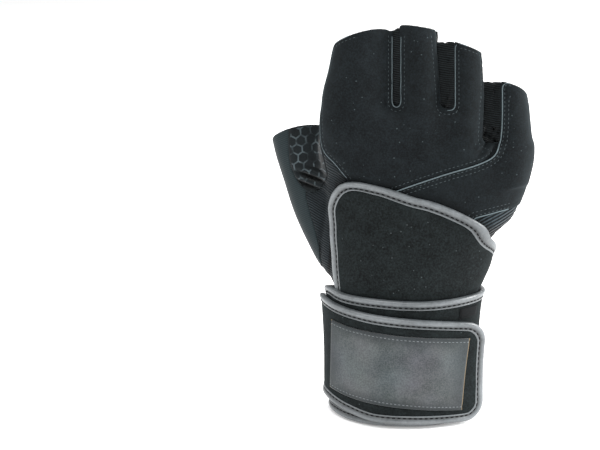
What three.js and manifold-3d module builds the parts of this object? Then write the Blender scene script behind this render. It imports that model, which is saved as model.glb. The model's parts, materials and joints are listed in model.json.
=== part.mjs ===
// A fingerless weightlifting glove for the right hand, in the filled-out form that it has on a hand.
// Millimetres, +Z up along the fingers. The back of the hand faces -Y, the palm +Y, the thumb -X.
// The origin is the middle of the wrist opening, level with the lowest edge of the strap.

import * as THREE from 'three';
import Module from 'manifold-3d';
import { mergeVertices } from 'three/addons/utils/BufferGeometryUtils.js';

const wasm = await Module();
wasm.setup();

// Driving sizes of the glove.
const gloveLength = 190;
const palmWidth = 98;
const palmDepth = 37;
const wall = 1.8;
const seamGap = 0.3;
const hemHeight = 5.5;
const crotchDepth = 3;

// Driving sizes of the strap. The strap winds outwards by its pitch in each turn.
const cuffHeight = 62;
const strapThickness = 1.8;
const strapClearance = 0.6;
const bindingWidth = 4.2;
const bindingLip = 0.25;
const strapPitch = strapThickness + 2 * bindingLip + 1.5 * seamGap;
const patchThickness = 0.7;
const padThickness = 0.5;

// How finely the round forms are divided, and how far the cutting blocks run past the glove. The last turns of the
// strap's ends get stations of their own, at these parts of a step.
const handSides = 30;
const fingerSides = 20;
const innerShare = 0.6;
const openEnd = 8;
const reach = 100;
const pastTips = 1.1;
const sharpestCorner = 0.4;
const cornerParts = [0.12, 0.4, 0.8];
const leastStation = 1;

// Sections of the hand. Height is a share of the glove's length, x and halfWidth are shares of the palm's
// width, y and halfDepth are shares of the palm's depth. Squareness 2 is an ellipse.
const sectionColumns = ['height', 'x', 'halfWidth', 'y', 'halfDepth', 'squareness', 'curl', 'lean'];
const handRows = [
  [0, 0, 0.313, 0, 0.554, 2.1, 0, 0],
  [0.126, 0, 0.31, 0, 0.546, 2.1, 0, 0],
  [0.253, 0.003, 0.318, 0, 0.546, 2.1, 0, 0],
  [0.337, 0.01, 0.337, 0, 0.546, 2.15, 0, 0],
  [0.389, 0.023, 0.362, 0, 0.551, 2.2, 0, 0],
  [0.442, 0.033, 0.38, 0, 0.557, 2.25, 0, 0],
  [0.474, 0.05, 0.404, 0, 0.551, 2.3, 0, 0],
  [0.516, 0.087, 0.449, -0.005, 0.541, 2.3, 0, 0],
  [0.558, 0.099, 0.469, -0.011, 0.532, 2.35, 0, 0],
  [0.59, 0.105, 0.48, -0.015, 0.527, 2.4, 0, 0],
  [0.621, 0.11, 0.49, -0.019, 0.522, 2.45, 0, 0],
  [0.648, 0.111, 0.495, -0.023, 0.515, 2.5, 0, 0],
  [0.674, 0.112, 0.5, -0.027, 0.508, 2.5, 0, 0],
  [0.697, 0.112, 0.5, -0.027, 0.47, 2.5, 0, 0],
  [0.714, 0.112, 0.488, -0.027, 0.38, 2.4, 0, 0],
];
const knuckleRows = [
  [0.634, 0.013, 0.37, -0.024, 0.49, 2.6, 0, 0],
  [0.69, 0.013, 0.39, -0.024, 0.49, 2.9, 0, 0],
  [0.753, 0.011, 0.388, -0.008, 0.459, 2.9, 5, 0],
  [0.78, 0.01, 0.382, 0.004, 0.42, 2.8, 7, 0],
  [0.797, 0.009, 0.36, 0.011, 0.32, 2.5, 8, 0],
];
const fingerRows = {
  index: [
    [0.63, -0.19, 0.165, -0.027, 0.45, 2.3, 0, 0],
    [0.711, -0.204, 0.184, -0.027, 0.473, 2.3, 2, 0],
    [0.8, -0.206, 0.176, 0.014, 0.427, 2.3, 8, 2],
    [0.884, -0.197, 0.154, 0.092, 0.389, 2.25, 15, 6],
    [0.955, -0.184, 0.136, 0.195, 0.359, 2.2, 22, 11],
  ],
  middle: [
    [0.63, 0.082, 0.112, -0.027, 0.46, 2.3, 0, 0],
    [0.711, 0.084, 0.112, -0.027, 0.476, 2.3, 2, 0],
    [0.8, 0.084, 0.1, 0.014, 0.427, 2.3, 8, 0],
    [0.884, 0.083, 0.097, 0.092, 0.389, 2.25, 15, -2],
    [0.966, 0.079, 0.094, 0.205, 0.359, 2.2, 22, -6],
  ],
  ring: [
    [0.63, 0.286, 0.112, -0.027, 0.45, 2.3, 0, 0],
    [0.711, 0.289, 0.105, -0.016, 0.459, 2.3, 4, 0],
    [0.8, 0.289, 0.101, 0.032, 0.405, 2.3, 11, -4],
    [0.868, 0.289, 0.1, 0.114, 0.368, 2.25, 17, -10],
    [0.921, 0.288, 0.098, 0.197, 0.346, 2.2, 22, -18],
  ],
  little: [
    [0.6, 0.475, 0.108, 0, 0.38, 2.3, 0, 0],
    [0.653, 0.498, 0.114, 0, 0.405, 2.3, 4, 0],
    [0.726, 0.508, 0.1, 0.038, 0.368, 2.3, 10, -4],
    [0.784, 0.503, 0.096, 0.108, 0.335, 2.25, 16, -10],
    [0.829, 0.497, 0.092, 0.184, 0.314, 2.2, 22, -16],
  ],
  thumb: [
    [0.368, -0.184, 0.122, 0.108, 0.392, 2.2, 0, 24],
    [0.442, -0.276, 0.171, 0.162, 0.384, 2.2, 0, 25],
    [0.537, -0.378, 0.157, 0.227, 0.362, 2.2, 2, 21],
    [0.616, -0.449, 0.135, 0.265, 0.341, 2.15, 8, 16],
    [0.674, -0.49, 0.122, 0.292, 0.319, 2.1, 14, 14],
    [0.721, -0.51, 0.114, 0.324, 0.303, 2.1, 20, 15],
  ],
};

// The three creases across the palm: height at the palm's middle as a share of the glove's length, rise of the
// crease towards the thumb in degrees, depth as a share of the palm's depth and width as a share of the length.
const creaseColumns = ['height', 'rise', 'depth', 'width'];
const creaseRows = [
  [0.682, 2, 0.035, 0.012],
  [0.641, 4, 0.04, 0.012],
  [0.598, 6, 0.045, 0.014],
];

// Outlines on the plane of the hand, as shares of the palm's width and of the glove's length.
const thumbZone = [
  [-0.394, 0.8], [-0.394, 0.726], [-0.373, 0.689], [-0.316, 0.666], [-0.255, 0.629],
  [-0.23, 0.589], [-0.23, 0.358], [-0.316, 0.305], [-0.765, 0.305], [-0.765, 0.8],
];
const gripZone = [
  [-0.394, 0.8], [-0.394, 0.726], [-0.373, 0.689], [-0.347, 0.632], [-0.371, 0.6],
  [-0.424, 0.574], [-0.493, 0.592], [-0.551, 0.651], [-0.545, 0.8],
];
const outerStripZone = [
  [-0.545, 0.8], [-0.551, 0.651], [-0.493, 0.592], [-0.471, 0.568], [-0.406, 0.458],
  [-0.394, 0.389], [-0.367, 0.305], [-0.765, 0.305], [-0.765, 0.8],
];
const thumbPalmZone = [
  [-0.394, 0.8], [-0.39, 0.653], [-0.357, 0.611], [-0.291, 0.576], [-0.194, 0.516],
  [-0.128, 0.458], [-0.112, 0.411], [-0.153, 0.345], [-0.224, 0.305], [-0.765, 0.305], [-0.765, 0.8],
];
const sideZone = [
  [-0.306, 0.542], [-0.009, 0.608], [0.209, 0.647], [0.382, 0.671], [0.443, 0.689], [0.467, 0.734],
  [0.471, 0.8], [0.471, 0.95], [0.765, 0.95], [0.765, -0.05], [-0.765, -0.05], [-0.765, 0.305], [-0.306, 0.305],
];
const indexZone = [[-1, 0.62], [-0.25, 0.62], [-0.25, pastTips], [-1, pastTips]];
const sideGussetZone = [
  [0.316, 0.529], [0.449, 0.543], [0.546, 0.549], [0.765, 0.558], [0.765, 0.368], [0.357, 0.368],
];

// Curves seen from the side, as shares of the glove's length and the palm's depth. The back's cloth ends at
// the back edge, the palm's suede begins at the palm edge, and the stretch strips lie between them.
const backEdge = [[0.6, -0.19], [0.711, -0.19], [0.8, -0.15], [0.884, -0.08], [0.96, 0.03], [1.1, 0.25]];
const palmEdge = [[0.6, 0.1], [0.711, 0.12], [0.8, 0.18], [0.884, 0.27], [0.96, 0.38], [1.1, 0.6]];
const handSeam = [[-0.1, 0.06], [0.5, 0.06], [0.711, 0.1], [0.8, 0.16], [0.884, 0.25], [0.96, 0.36], [1.1, 0.58]];
const thumbSeam = [[-0.1, 0.2], [0.45, 0.2], [0.62, 0.28], [0.72, 0.34], [0.82, 0.5], [1.1, 0.9]];

// The gaps between fingers: from, to and the crotch's height on the back, with the fingers on either side.
const gapColumns = ['name', 'from', 'to', 'crotch', 'left', 'right'];
const gapRows = [
  ['fourchette_index_middle', -0.043, -0.005, 0.784, 'index', 'middle'],
  ['fourchette_middle_ring', 0.157, 0.253, 0.779, 'middle', 'ring'],
  ['fourchette_ring_little', 0.396, 0.467, 0.695, 'ring', 'little'],
];

// The strap's plan: turn in degrees from the middle of the hand's back, top and bottom edge as shares of the
// cuff's height. It starts on the back of the hand, and the last turn is the tab that carries the patch.
const strapColumns = ['turn', 'top', 'bottom'];
const strapRows = [
  [-64, 1.823, 0.806], [-47, 1.892, 0.806], [-35, 1.915, 0.806], [-19, 1.882, 0.806], [0, 1.787, 0.806],
  [24, 1.65, 0.806], [57, 1.461, 0.774], [80, 1.371, 0.677], [112, 1.234, 0.355], [145, 1.097, 0.097],
  [170, 0.992, 0.048], [195, 0.944, 0.024], [240, 0.96, 0.016], [290, 1.052, 0.016], [310, 1.032, 0.008],
  [340, 1.019, 0], [372, 1.003, 0], [410, 1.01, 0], [440, 1.003, 0.032], [470, 0.984, 0.161],
  [505, 0.919, 0.177], [530, 0.871, 0.145], [555, 0.839, 0.129], [600, 0.855, 0.129], [640, 0.971, 0.14],
  [676, 0.94, 0.092], [704, 0.903, 0.042], [732, 0.871, 0.032], [770, 0.819, 0.013], [792, 0.79, 0.019],
];
const strapCorner = { start: 11, end: 9 };
const strapStep = 12;
const strapLevels = 4;

// The patch on the tab and the small pad beside it, in turns and shares of the cuff's height.
const patchPlan = { from: [663, 657], to: [776, 769], top: [0.816, 0.694], bottom: [0.25, 0.119] };
const padPlan = { from: [404, 404], to: [426, 426], top: [0.92, 0.92], bottom: [0.836, 0.836] };
const patchSteps = 16;
const padSteps = 4;

function named(columns, row) {
  return Object.fromEntries(columns.map((column, i) => [column, row[i]]));
}

function roundPower(value, squareness) {
  return Math.sign(value) * Math.abs(value) ** (2 / squareness);
}

// How far a point of the palm sinks into the creases that cross it.
function creaseSink(x, z) {
  let sink = 0;
  for (const row of creaseRows) {
    const crease = named(creaseColumns, row);
    const line = crease.height * gloveLength - x * Math.tan(THREE.MathUtils.degToRad(crease.rise));
    const away = (z - line) / (crease.width * gloveLength);
    sink += crease.depth * palmDepth * Math.exp(-away * away);
  }
  return sink;
}

// One ring of points round a section, grown outwards by a distance and moved along its own axis by a slide.
function sectionRing(row, sides, grow, slide, creased) {
  const section = named(sectionColumns, row);
  const curl = THREE.MathUtils.degToRad(section.curl);
  const lean = THREE.MathUtils.degToRad(section.lean);
  const turn = new THREE.Matrix4().makeRotationFromEuler(new THREE.Euler(-curl, -lean, 0, 'YXZ'));
  const centre = new THREE.Vector3(section.x * palmWidth, section.y * palmDepth, section.height * gloveLength);
  const halfWidth = section.halfWidth * palmWidth + grow;
  const halfDepth = section.halfDepth * palmDepth + grow;
  const ring = [];
  for (let i = 0; i < sides; i += 1) {
    const angle = (2 * Math.PI * i) / sides;
    const across = halfWidth * roundPower(Math.sin(angle), section.squareness);
    const deep = -halfDepth * roundPower(Math.cos(angle), section.squareness);
    const point = new THREE.Vector3(across, deep, slide).applyMatrix4(turn).add(centre);
    if (creased && deep > 0) {
      point.y -= creaseSink(point.x, point.z) * (deep / halfDepth);
    }
    ring.push(point);
  }
  return ring;
}

// A closed skin over a run of rings, with a fan of triangles at both ends.
function skinOver(rings) {
  const sides = rings[0].length;
  const positions = [];
  const push = (...points) => points.forEach((p) => positions.push(p.x, p.y, p.z));
  for (let r = 0; r + 1 < rings.length; r += 1) {
    for (let i = 0; i < sides; i += 1) {
      const j = (i + 1) % sides;
      push(rings[r][i], rings[r][j], rings[r + 1][j]);
      push(rings[r][i], rings[r + 1][j], rings[r + 1][i]);
    }
  }
  for (const [ring, flip] of [[rings[0], true], [rings[rings.length - 1], false]]) {
    const middle = new THREE.Vector3();
    ring.forEach((p) => middle.add(p));
    middle.divideScalar(sides);
    for (let i = 0; i < sides; i += 1) {
      const j = (i + 1) % sides;
      if (flip) {
        push(middle, ring[j], ring[i]);
      } else {
        push(middle, ring[i], ring[j]);
      }
    }
  }
  const geometry = new THREE.BufferGeometry();
  geometry.setAttribute('position', new THREE.Float32BufferAttribute(positions, 3));
  return geometry;
}

function toSolid(geometry) {
  const bare = geometry.clone();
  bare.deleteAttribute('normal');
  bare.deleteAttribute('uv');
  const merged = mergeVertices(bare, 1e-4);
  return new wasm.Manifold(new wasm.Mesh({
    numProp: 3,
    vertProperties: new Float32Array(merged.attributes.position.array),
    triVerts: new Uint32Array(merged.index.array),
  }));
}

function toGeometry(solid) {
  const mesh = solid.getMesh();
  const geometry = new THREE.BufferGeometry();
  geometry.setAttribute('position', new THREE.Float32BufferAttribute(mesh.vertProperties, 3));
  geometry.setIndex(new THREE.Uint32BufferAttribute(mesh.triVerts, 1));
  geometry.computeVertexNormals();
  return geometry;
}

// A loft through a table of sections. Its end can run on past the last section, to open a hollow there.
function loft(rows, sides, grow, openBottom, openTop, creased = false) {
  const lastIndex = rows.length - 1;
  const endSlide = (i) => {
    if (i === 0 && !openBottom) {
      return -grow;
    }
    return i === lastIndex && !openTop ? grow : 0;
  };
  const rings = rows.map((row, i) => sectionRing(row, sides, grow, endSlide(i), creased));
  if (openBottom) {
    rings.unshift(sectionRing(rows[0], sides, grow, -openEnd, false));
  }
  if (openTop) {
    rings.push(sectionRing(rows[lastIndex], sides, grow, openEnd, false));
  }
  return toSolid(skinOver(rings));
}

// The whole volume of the hand: palm, knuckles, four short fingers and thumb.
function handVolume(grow, open) {
  const roundSides = (sides) => (open ? 2 * Math.round((sides * innerShare) / 2) : sides);
  let volume = loft(handRows, roundSides(handSides), grow, open, false, true);
  volume = volume.add(loft(knuckleRows, roundSides(handSides), grow, false, false, true));
  for (const rows of Object.values(fingerRows)) {
    volume = volume.add(loft(rows, roundSides(fingerSides), grow, false, open));
  }
  return volume;
}

// Moves every side of an outline outwards by a distance.
function growOutline(points, distance) {
  const area = THREE.ShapeUtils.area(points);
  const side = Math.sign(area) * distance;
  return points.map((point, i) => {
    const before = points[(i + points.length - 1) % points.length];
    const after = points[(i + 1) % points.length];
    const first = point.clone().sub(before).normalize();
    const second = after.clone().sub(point).normalize();
    const normal = new THREE.Vector2(first.y + second.y, -first.x - second.x).normalize();
    const stretch = normal.dot(new THREE.Vector2(first.y, -first.x));
    return point.clone().addScaledVector(normal, side / Math.max(stretch, sharpestCorner));
  });
}

// A block with an outline on the plane of the hand, from one y to another.
function frontBlock(zone, grow, fromY = -reach, toY = reach) {
  const points = zone.map(([x, z]) => new THREE.Vector2(x * palmWidth, z * gloveLength));
  const shape = new THREE.Shape(growOutline(points, grow));
  const geometry = new THREE.ExtrudeGeometry(shape, { depth: toY - fromY + 2 * grow, bevelEnabled: false });
  geometry.rotateX(Math.PI / 2);
  geometry.translate(0, toY + grow, 0);
  return toSolid(geometry);
}

// A block with an outline seen from the side, from one x to another. The outline lies between two curves.
function sideBlock(nearCurve, farCurve, grow, fromX = -reach, toX = reach) {
  const near = nearCurve.map(([z, y]) => new THREE.Vector2(y * palmDepth, z * gloveLength));
  const far = farCurve.map(([z, y]) => new THREE.Vector2(y * palmDepth, z * gloveLength));
  const shape = new THREE.Shape(growOutline([...near, ...far.reverse()], grow));
  const geometry = new THREE.ExtrudeGeometry(shape, { depth: toX - fromX + 2 * grow, bevelEnabled: false });
  geometry.applyMatrix4(new THREE.Matrix4().set(
    0, 0, 1, fromX - grow,
    1, 0, 0, 0,
    0, 1, 0, 0,
    0, 0, 0, 1,
  ));
  return toSolid(geometry);
}

function shifted(curve, depth) {
  return curve.map(([z]) => [z, depth]);
}

const frontOf = (curve, grow) => sideBlock(shifted(curve, -reach / palmDepth), curve, grow);

// The block in front of a gap and between the side walls of the fingers beside it.
function gapBlock(gap, grow) {
  const leftRows = fingerRows[gap.left];
  const rightRows = fingerRows[gap.right];
  const leftMiddle = leftRows[2][1] * palmWidth;
  const rightMiddle = rightRows[2][1] * palmWidth;
  const low = gap.crotch - crotchDepth / gloveLength;
  const slot = [[gap.from, gap.crotch], [gap.to, gap.crotch], [gap.to, pastTips], [gap.from, pastTips]];
  const front = frontBlock(slot, grow, -reach, 0);
  const walls = sideBlock(backEdge, palmEdge, grow, leftMiddle, rightMiddle);
  const above = frontBlock([[-1, low], [1, low], [1, pastTips], [-1, pastTips]], grow);
  return front.add(walls.intersect(above));
}

// The block that holds a finger's hem: everything near its mouth.
function hemBlock(rows, grow) {
  const last = rows[rows.length - 1];
  const mouth = [
    sectionRing(last, fingerSides, wall + grow, -hemHeight - grow, false),
    sectionRing(last, fingerSides, wall + grow, openEnd, false),
  ];
  return toSolid(skinOver(mouth));
}

const shell = handVolume(0, false).subtract(handVolume(-wall, true));
const solids = {};
let left = shell;

// The largest body of a cut, without the crumbs that a cut leaves beside it.
function mainBody(solid) {
  const bodies = toSolid(toGeometry(solid)).decompose();
  bodies.sort((a, b) => b.volume() - a.volume());
  return bodies[0];
}

// Takes a piece out of what is left of the shell, and leaves a seam's gap round it.
function take(name, block) {
  solids[name] = mainBody(left.intersect(block(0)));
  left = left.subtract(block(seamGap));
}

const inFront = (zone, curve) => (grow) => frontBlock(zone, grow).intersect(frontOf(curve, grow));

take('thumb_grip_patch', inFront(gripZone, thumbSeam));
take('thumb_outer_strip', inFront(outerStripZone, thumbSeam));
take('hem_thumb', (grow) => hemBlock(fingerRows.thumb, grow));
take('thumb_gusset', inFront(thumbZone, thumbSeam));
take('thumb_base_panel', (grow) => frontBlock(thumbPalmZone, grow));
take('index_side_strip', (grow) => frontBlock(indexZone, grow).intersect(sideBlock(backEdge, palmEdge, grow)));
gapRows.map((row) => named(gapColumns, row)).forEach((gap) => {
  take(gap.name, (grow) => gapBlock(gap, grow));
});
take('side_gusset', inFront(sideGussetZone, handSeam));
take('side_panel', inFront(sideZone, handSeam));
take('back_panel', (grow) => frontOf(handSeam, grow));
for (const finger of ['index', 'middle', 'ring', 'little']) {
  take(`hem_${finger}`, (grow) => hemBlock(fingerRows[finger], grow));
}
solids.palm_panel = mainBody(left);

// The hand's section at a height, read between the rows of its table.
function handSection(z) {
  const share = THREE.MathUtils.clamp(z / gloveLength, handRows[0][0], handRows[handRows.length - 1][0]);
  let upper = handRows.findIndex((row) => row[0] >= share);
  upper = Math.max(upper, 1);
  const low = handRows[upper - 1];
  const high = handRows[upper];
  const blend = (share - low[0]) / (high[0] - low[0]);
  return named(sectionColumns, low.map((value, i) => value + (high[i] - value) * blend));
}

function between(rows, at, column) {
  let upper = rows.findIndex((row) => row[0] >= at);
  upper = upper < 1 ? (upper === 0 ? 1 : rows.length - 1) : upper;
  const low = rows[upper - 1];
  const high = rows[upper];
  const blend = THREE.MathUtils.clamp((at - low[0]) / (high[0] - low[0]), 0, 1);
  return low[column] + (high[column] - low[column]) * blend;
}

// A point on the strap's course, at a turn in degrees, a height and a distance out from its inner face.
function strapPoint(turn, z, out) {
  const section = handSection(z);
  const grow = strapClearance + strapPitch * ((turn - strapRows[0][0]) / 360) + out;
  const angle = THREE.MathUtils.degToRad(turn);
  const across = (section.halfWidth * palmWidth + grow) * roundPower(Math.sin(angle), section.squareness);
  const deep = (section.halfDepth * palmDepth + grow) * roundPower(Math.cos(angle), section.squareness);
  return new THREE.Vector3(section.x * palmWidth + across, section.y * palmDepth - deep, z);
}

// The strap's stations: where each lies along the strap, and its top and bottom edge with rounded corners.
function strapStations() {
  const first = strapRows[0][0];
  const last = strapRows[strapRows.length - 1][0];
  const turns = [first, last];
  for (let turn = Math.ceil(first / strapStep) * strapStep; turn < last; turn += strapStep) {
    turns.push(turn);
  }
  for (const part of cornerParts) {
    turns.push(first + part * strapStep, last - part * strapStep);
  }
  turns.sort((a, b) => a - b);
  const stations = turns.map((turn) => {
    const top = between(strapRows, turn, 1) * cuffHeight;
    const bottom = between(strapRows, turn, 2) * cuffHeight;
    return { turn, top, bottom, along: 0 };
  });
  for (let i = 1; i < stations.length; i += 1) {
    const here = stations[i];
    const before = stations[i - 1];
    const from = strapPoint(before.turn, (before.top + before.bottom) / 2, 0);
    const to = strapPoint(here.turn, (here.top + here.bottom) / 2, 0);
    here.along = before.along + Math.hypot(to.x - from.x, to.y - from.y);
  }
  const whole = stations[stations.length - 1].along;
  const drop = (away, radius) => (away < radius ? radius - Math.sqrt(radius ** 2 - (radius - away) ** 2) : 0);
  for (const station of stations) {
    station.top -= drop(station.along, strapCorner.start) + drop(whole - station.along, strapCorner.end);
    station.bottom += drop(whole - station.along, strapCorner.end);
  }
  return stations;
}

const stations = strapStations();

// Where the strap's cloth ends inside its binding, in from both edges and both ends.
function clothStations() {
  const inset = bindingWidth + 2 * seamGap;
  const whole = stations[stations.length - 1].along;
  const atAlong = (along) => {
    const upper = Math.max(stations.findIndex((station) => station.along >= along), 1);
    const low = stations[upper - 1];
    const high = stations[upper];
    const blend = (along - low.along) / (high.along - low.along);
    const mix = (key) => low[key] + (high[key] - low[key]) * blend;
    return { turn: mix('turn'), top: mix('top'), bottom: mix('bottom'), along };
  };
  const inner = stations.filter(({ along }) => along > inset + leastStation && along < whole - inset - leastStation);
  return [atAlong(inset), ...inner, atAlong(whole - inset)].map((station) => ({
    ...station,
    top: station.top - inset,
    bottom: station.bottom + inset,
  }));
}

// A closed sheet that follows the strap's course, a grid of points on both faces joined round the rim.
function courseSheet(columns, levels, inside, outside) {
  const faces = [outside, inside].map((out) => columns.map((column) => {
    const points = [];
    for (let k = 0; k < levels; k += 1) {
      const share = k / (levels - 1);
      points.push(strapPoint(column.turn, column.bottom + (column.top - column.bottom) * share, out));
    }
    return points;
  }));
  const rings = columns.map((column, i) => [...faces[1][i], ...faces[0][i].slice().reverse()]);
  return toSolid(skinOver(rings));
}

solids.wrist_strap = courseSheet(clothStations(), strapLevels, 0, strapThickness);

// The binding: a bar bent round the strap's whole outline, from its start along the bottom to the end and back.
function bindingSolid() {
  const outline = [
    ...stations.map((station) => ({ turn: station.turn, z: station.bottom })),
    ...stations.map((station) => ({ turn: station.turn, z: station.top })).reverse(),
  ];
  const first = stations[0];
  const last = stations[stations.length - 1];
  const inner = outline.map(({ turn, z }, i) => {
    const isTop = i >= stations.length;
    return { turn, z: isTop ? z - bindingWidth : z + bindingWidth };
  });
  const perDegree = (station, next) => {
    const middle = (station.top + station.bottom) / 2;
    const from = strapPoint(station.turn, middle, 0);
    const to = strapPoint(next.turn, middle, 0);
    return from.distanceTo(to) / Math.abs(next.turn - station.turn);
  };
  const startTurn = first.turn + bindingWidth / perDegree(first, stations[1]);
  const endTurn = last.turn - bindingWidth / perDegree(last, stations[stations.length - 2]);
  inner.forEach((point) => {
    point.turn = THREE.MathUtils.clamp(point.turn, startTurn, endTurn);
  });
  const low = -bindingLip;
  const high = strapThickness + bindingLip;
  const rings = outline.map(({ turn, z }, i) => [
    strapPoint(inner[i].turn, inner[i].z, high),
    strapPoint(turn, z, high),
    strapPoint(turn, z, low),
    strapPoint(inner[i].turn, inner[i].z, low),
  ]);
  return closedSweep(rings);
}

// A closed skin over rings that run round and meet their first ring again.
function closedSweep(rings) {
  const sides = rings[0].length;
  const positions = [];
  const push = (...points) => points.forEach((p) => positions.push(p.x, p.y, p.z));
  rings.forEach((ring, r) => {
    const next = rings[(r + 1) % rings.length];
    for (let i = 0; i < sides; i += 1) {
      const j = (i + 1) % sides;
      push(ring[i], ring[j], next[j]);
      push(ring[i], next[j], next[i]);
    }
  });
  const geometry = new THREE.BufferGeometry();
  geometry.setAttribute('position', new THREE.Float32BufferAttribute(positions, 3));
  return toSolid(geometry);
}

solids.strap_binding = bindingSolid();

// The patch lies on the tab, and the pad on the turn below it.
function patchColumns(plan, count) {
  const columns = [];
  for (let i = 0; i <= count; i += 1) {
    const share = i / count;
    const mix = ([a, b]) => a + (b - a) * share;
    columns.push({
      turn: mix([plan.from[0], plan.to[0]]),
      lowTurn: mix([plan.from[1], plan.to[1]]),
      top: mix(plan.top) * cuffHeight,
      bottom: mix(plan.bottom) * cuffHeight,
    });
  }
  return columns;
}

function patchSolid(plan, count, thickness) {
  const inside = strapThickness + seamGap;
  const outside = inside + thickness;
  const rings = patchColumns(plan, count).map((column) => {
    const face = (out) => [0, 0.5, 1].map((share) => strapPoint(
      column.lowTurn + (column.turn - column.lowTurn) * share,
      column.bottom + (column.top - column.bottom) * share,
      out,
    ));
    return [...face(inside), ...face(outside).reverse()];
  });
  return toSolid(skinOver(rings));
}

solids.label_patch = patchSolid(patchPlan, patchSteps, patchThickness);
solids.closure_pad = patchSolid(padPlan, padSteps, padThickness);

// Colours read from the photograph, with how rough each finish is.
const finishes = {
  neoprene: { color: 0x262b2d, roughness: 0.9 },
  suede: { color: 0x1e1d1d, roughness: 0.95 },
  stretch: { color: 0x1b2022, roughness: 0.85 },
  smooth_cloth: { color: 0x3c474b, roughness: 0.75 },
  knit_hem: { color: 0x1c1f20, roughness: 0.9 },
  strap_cloth: { color: 0x171818, roughness: 0.92 },
  binding_tape: { color: 0x6f7375, roughness: 0.5 },
  patch: { color: 0x4a5052, roughness: 0.55 },
};
const pieceFinish = {
  back_panel: 'neoprene',
  side_panel: 'neoprene',
  palm_panel: 'suede',
  thumb_base_panel: 'suede',
  thumb_grip_patch: 'stretch',
  thumb_gusset: 'stretch',
  side_gusset: 'stretch',
  index_side_strip: 'stretch',
  thumb_outer_strip: 'smooth_cloth',
  wrist_strap: 'strap_cloth',
  strap_binding: 'binding_tape',
  label_patch: 'patch',
  closure_pad: 'strap_cloth',
};

const glove = new THREE.Group();
glove.name = 'glove';
for (const [name, solid] of Object.entries(solids)) {
  const finish = finishes[pieceFinish[name] ?? (name.startsWith('hem_') ? 'knit_hem' : 'stretch')];
  const material = new THREE.MeshStandardMaterial({ ...finish, metalness: 0 });
  const mesh = new THREE.Mesh(toGeometry(solid), material);
  mesh.name = name;
  glove.add(mesh);
}

export default glove;
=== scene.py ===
# A fingerless weightlifting glove in its worn form: cloth panels, ribbed stretch inserts, a suede palm with a
# printed hexagon grip, and one long bound strap wound round the wrist. Sizes below are in millimetres and
# become metres when a mesh is made.

import json
import math

import bpy
import numpy as np
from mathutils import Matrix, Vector

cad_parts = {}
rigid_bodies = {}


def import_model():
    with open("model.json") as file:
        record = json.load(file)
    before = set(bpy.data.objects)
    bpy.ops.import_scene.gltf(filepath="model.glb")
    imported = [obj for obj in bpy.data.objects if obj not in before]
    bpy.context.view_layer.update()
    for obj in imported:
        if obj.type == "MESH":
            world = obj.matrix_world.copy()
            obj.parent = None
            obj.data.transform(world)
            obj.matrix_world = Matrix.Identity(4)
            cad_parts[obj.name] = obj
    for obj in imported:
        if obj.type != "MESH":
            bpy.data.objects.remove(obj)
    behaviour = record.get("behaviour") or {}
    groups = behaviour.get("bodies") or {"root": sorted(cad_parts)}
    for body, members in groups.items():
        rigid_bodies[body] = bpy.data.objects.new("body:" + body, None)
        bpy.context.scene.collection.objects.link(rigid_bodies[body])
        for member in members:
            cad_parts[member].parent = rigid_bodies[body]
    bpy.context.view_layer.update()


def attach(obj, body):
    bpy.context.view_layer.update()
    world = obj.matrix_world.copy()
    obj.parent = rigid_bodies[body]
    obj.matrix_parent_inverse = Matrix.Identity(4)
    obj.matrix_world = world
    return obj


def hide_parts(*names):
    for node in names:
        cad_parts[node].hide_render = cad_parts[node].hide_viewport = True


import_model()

MM = 0.001
SEED = 11

# Driving sizes, as in the frame.
GLOVE_LENGTH = 190.0
PALM_WIDTH = 98.0
PALM_DEPTH = 37.0
WALL = 1.8
HEM_HEIGHT = 5.5
CUFF_HEIGHT = 62.0
STRAP_THICKNESS = 1.8
STRAP_CLEARANCE = 0.6
BINDING_WIDTH = 4.3
STRAP_PITCH = 2.75

# Where the forms of the hand and the knuckles end, as shares of the length, and where the knuckles begin.
HAND_TOP = 0.708
KNUCKLE_TOP = 0.792
KNUCKLE_FOOT = 118

# Sections of the hand: height, x, half width, y, half depth, squareness, curl and lean in degrees.
HAND_ROWS = [
    (0, 0, 0.313, 0, 0.554, 2.1, 0, 0),
    (0.126, 0, 0.31, 0, 0.546, 2.1, 0, 0),
    (0.253, 0.003, 0.318, 0, 0.546, 2.1, 0, 0),
    (0.337, 0.01, 0.337, 0, 0.546, 2.15, 0, 0),
    (0.389, 0.023, 0.362, 0, 0.551, 2.2, 0, 0),
    (0.442, 0.033, 0.38, 0, 0.557, 2.25, 0, 0),
    (0.474, 0.05, 0.404, 0, 0.551, 2.3, 0, 0),
    (0.516, 0.087, 0.449, -0.005, 0.541, 2.3, 0, 0),
    (0.558, 0.099, 0.469, -0.011, 0.532, 2.35, 0, 0),
    (0.621, 0.11, 0.49, -0.019, 0.522, 2.45, 0, 0),
    (0.674, 0.112, 0.5, -0.027, 0.508, 2.5, 0, 0),
    (0.697, 0.112, 0.5, -0.027, 0.47, 2.5, 0, 0),
    (0.714, 0.112, 0.488, -0.027, 0.38, 2.4, 0, 0),
]
KNUCKLE_ROWS = [
    (0.634, 0.013, 0.37, -0.024, 0.49, 2.6, 0, 0),
    (0.69, 0.013, 0.39, -0.024, 0.49, 2.9, 0, 0),
    (0.753, 0.011, 0.388, -0.008, 0.459, 2.9, 5, 0),
    (0.78, 0.01, 0.382, 0.004, 0.42, 2.8, 7, 0),
    (0.797, 0.009, 0.36, 0.011, 0.32, 2.5, 8, 0),
]
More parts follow.
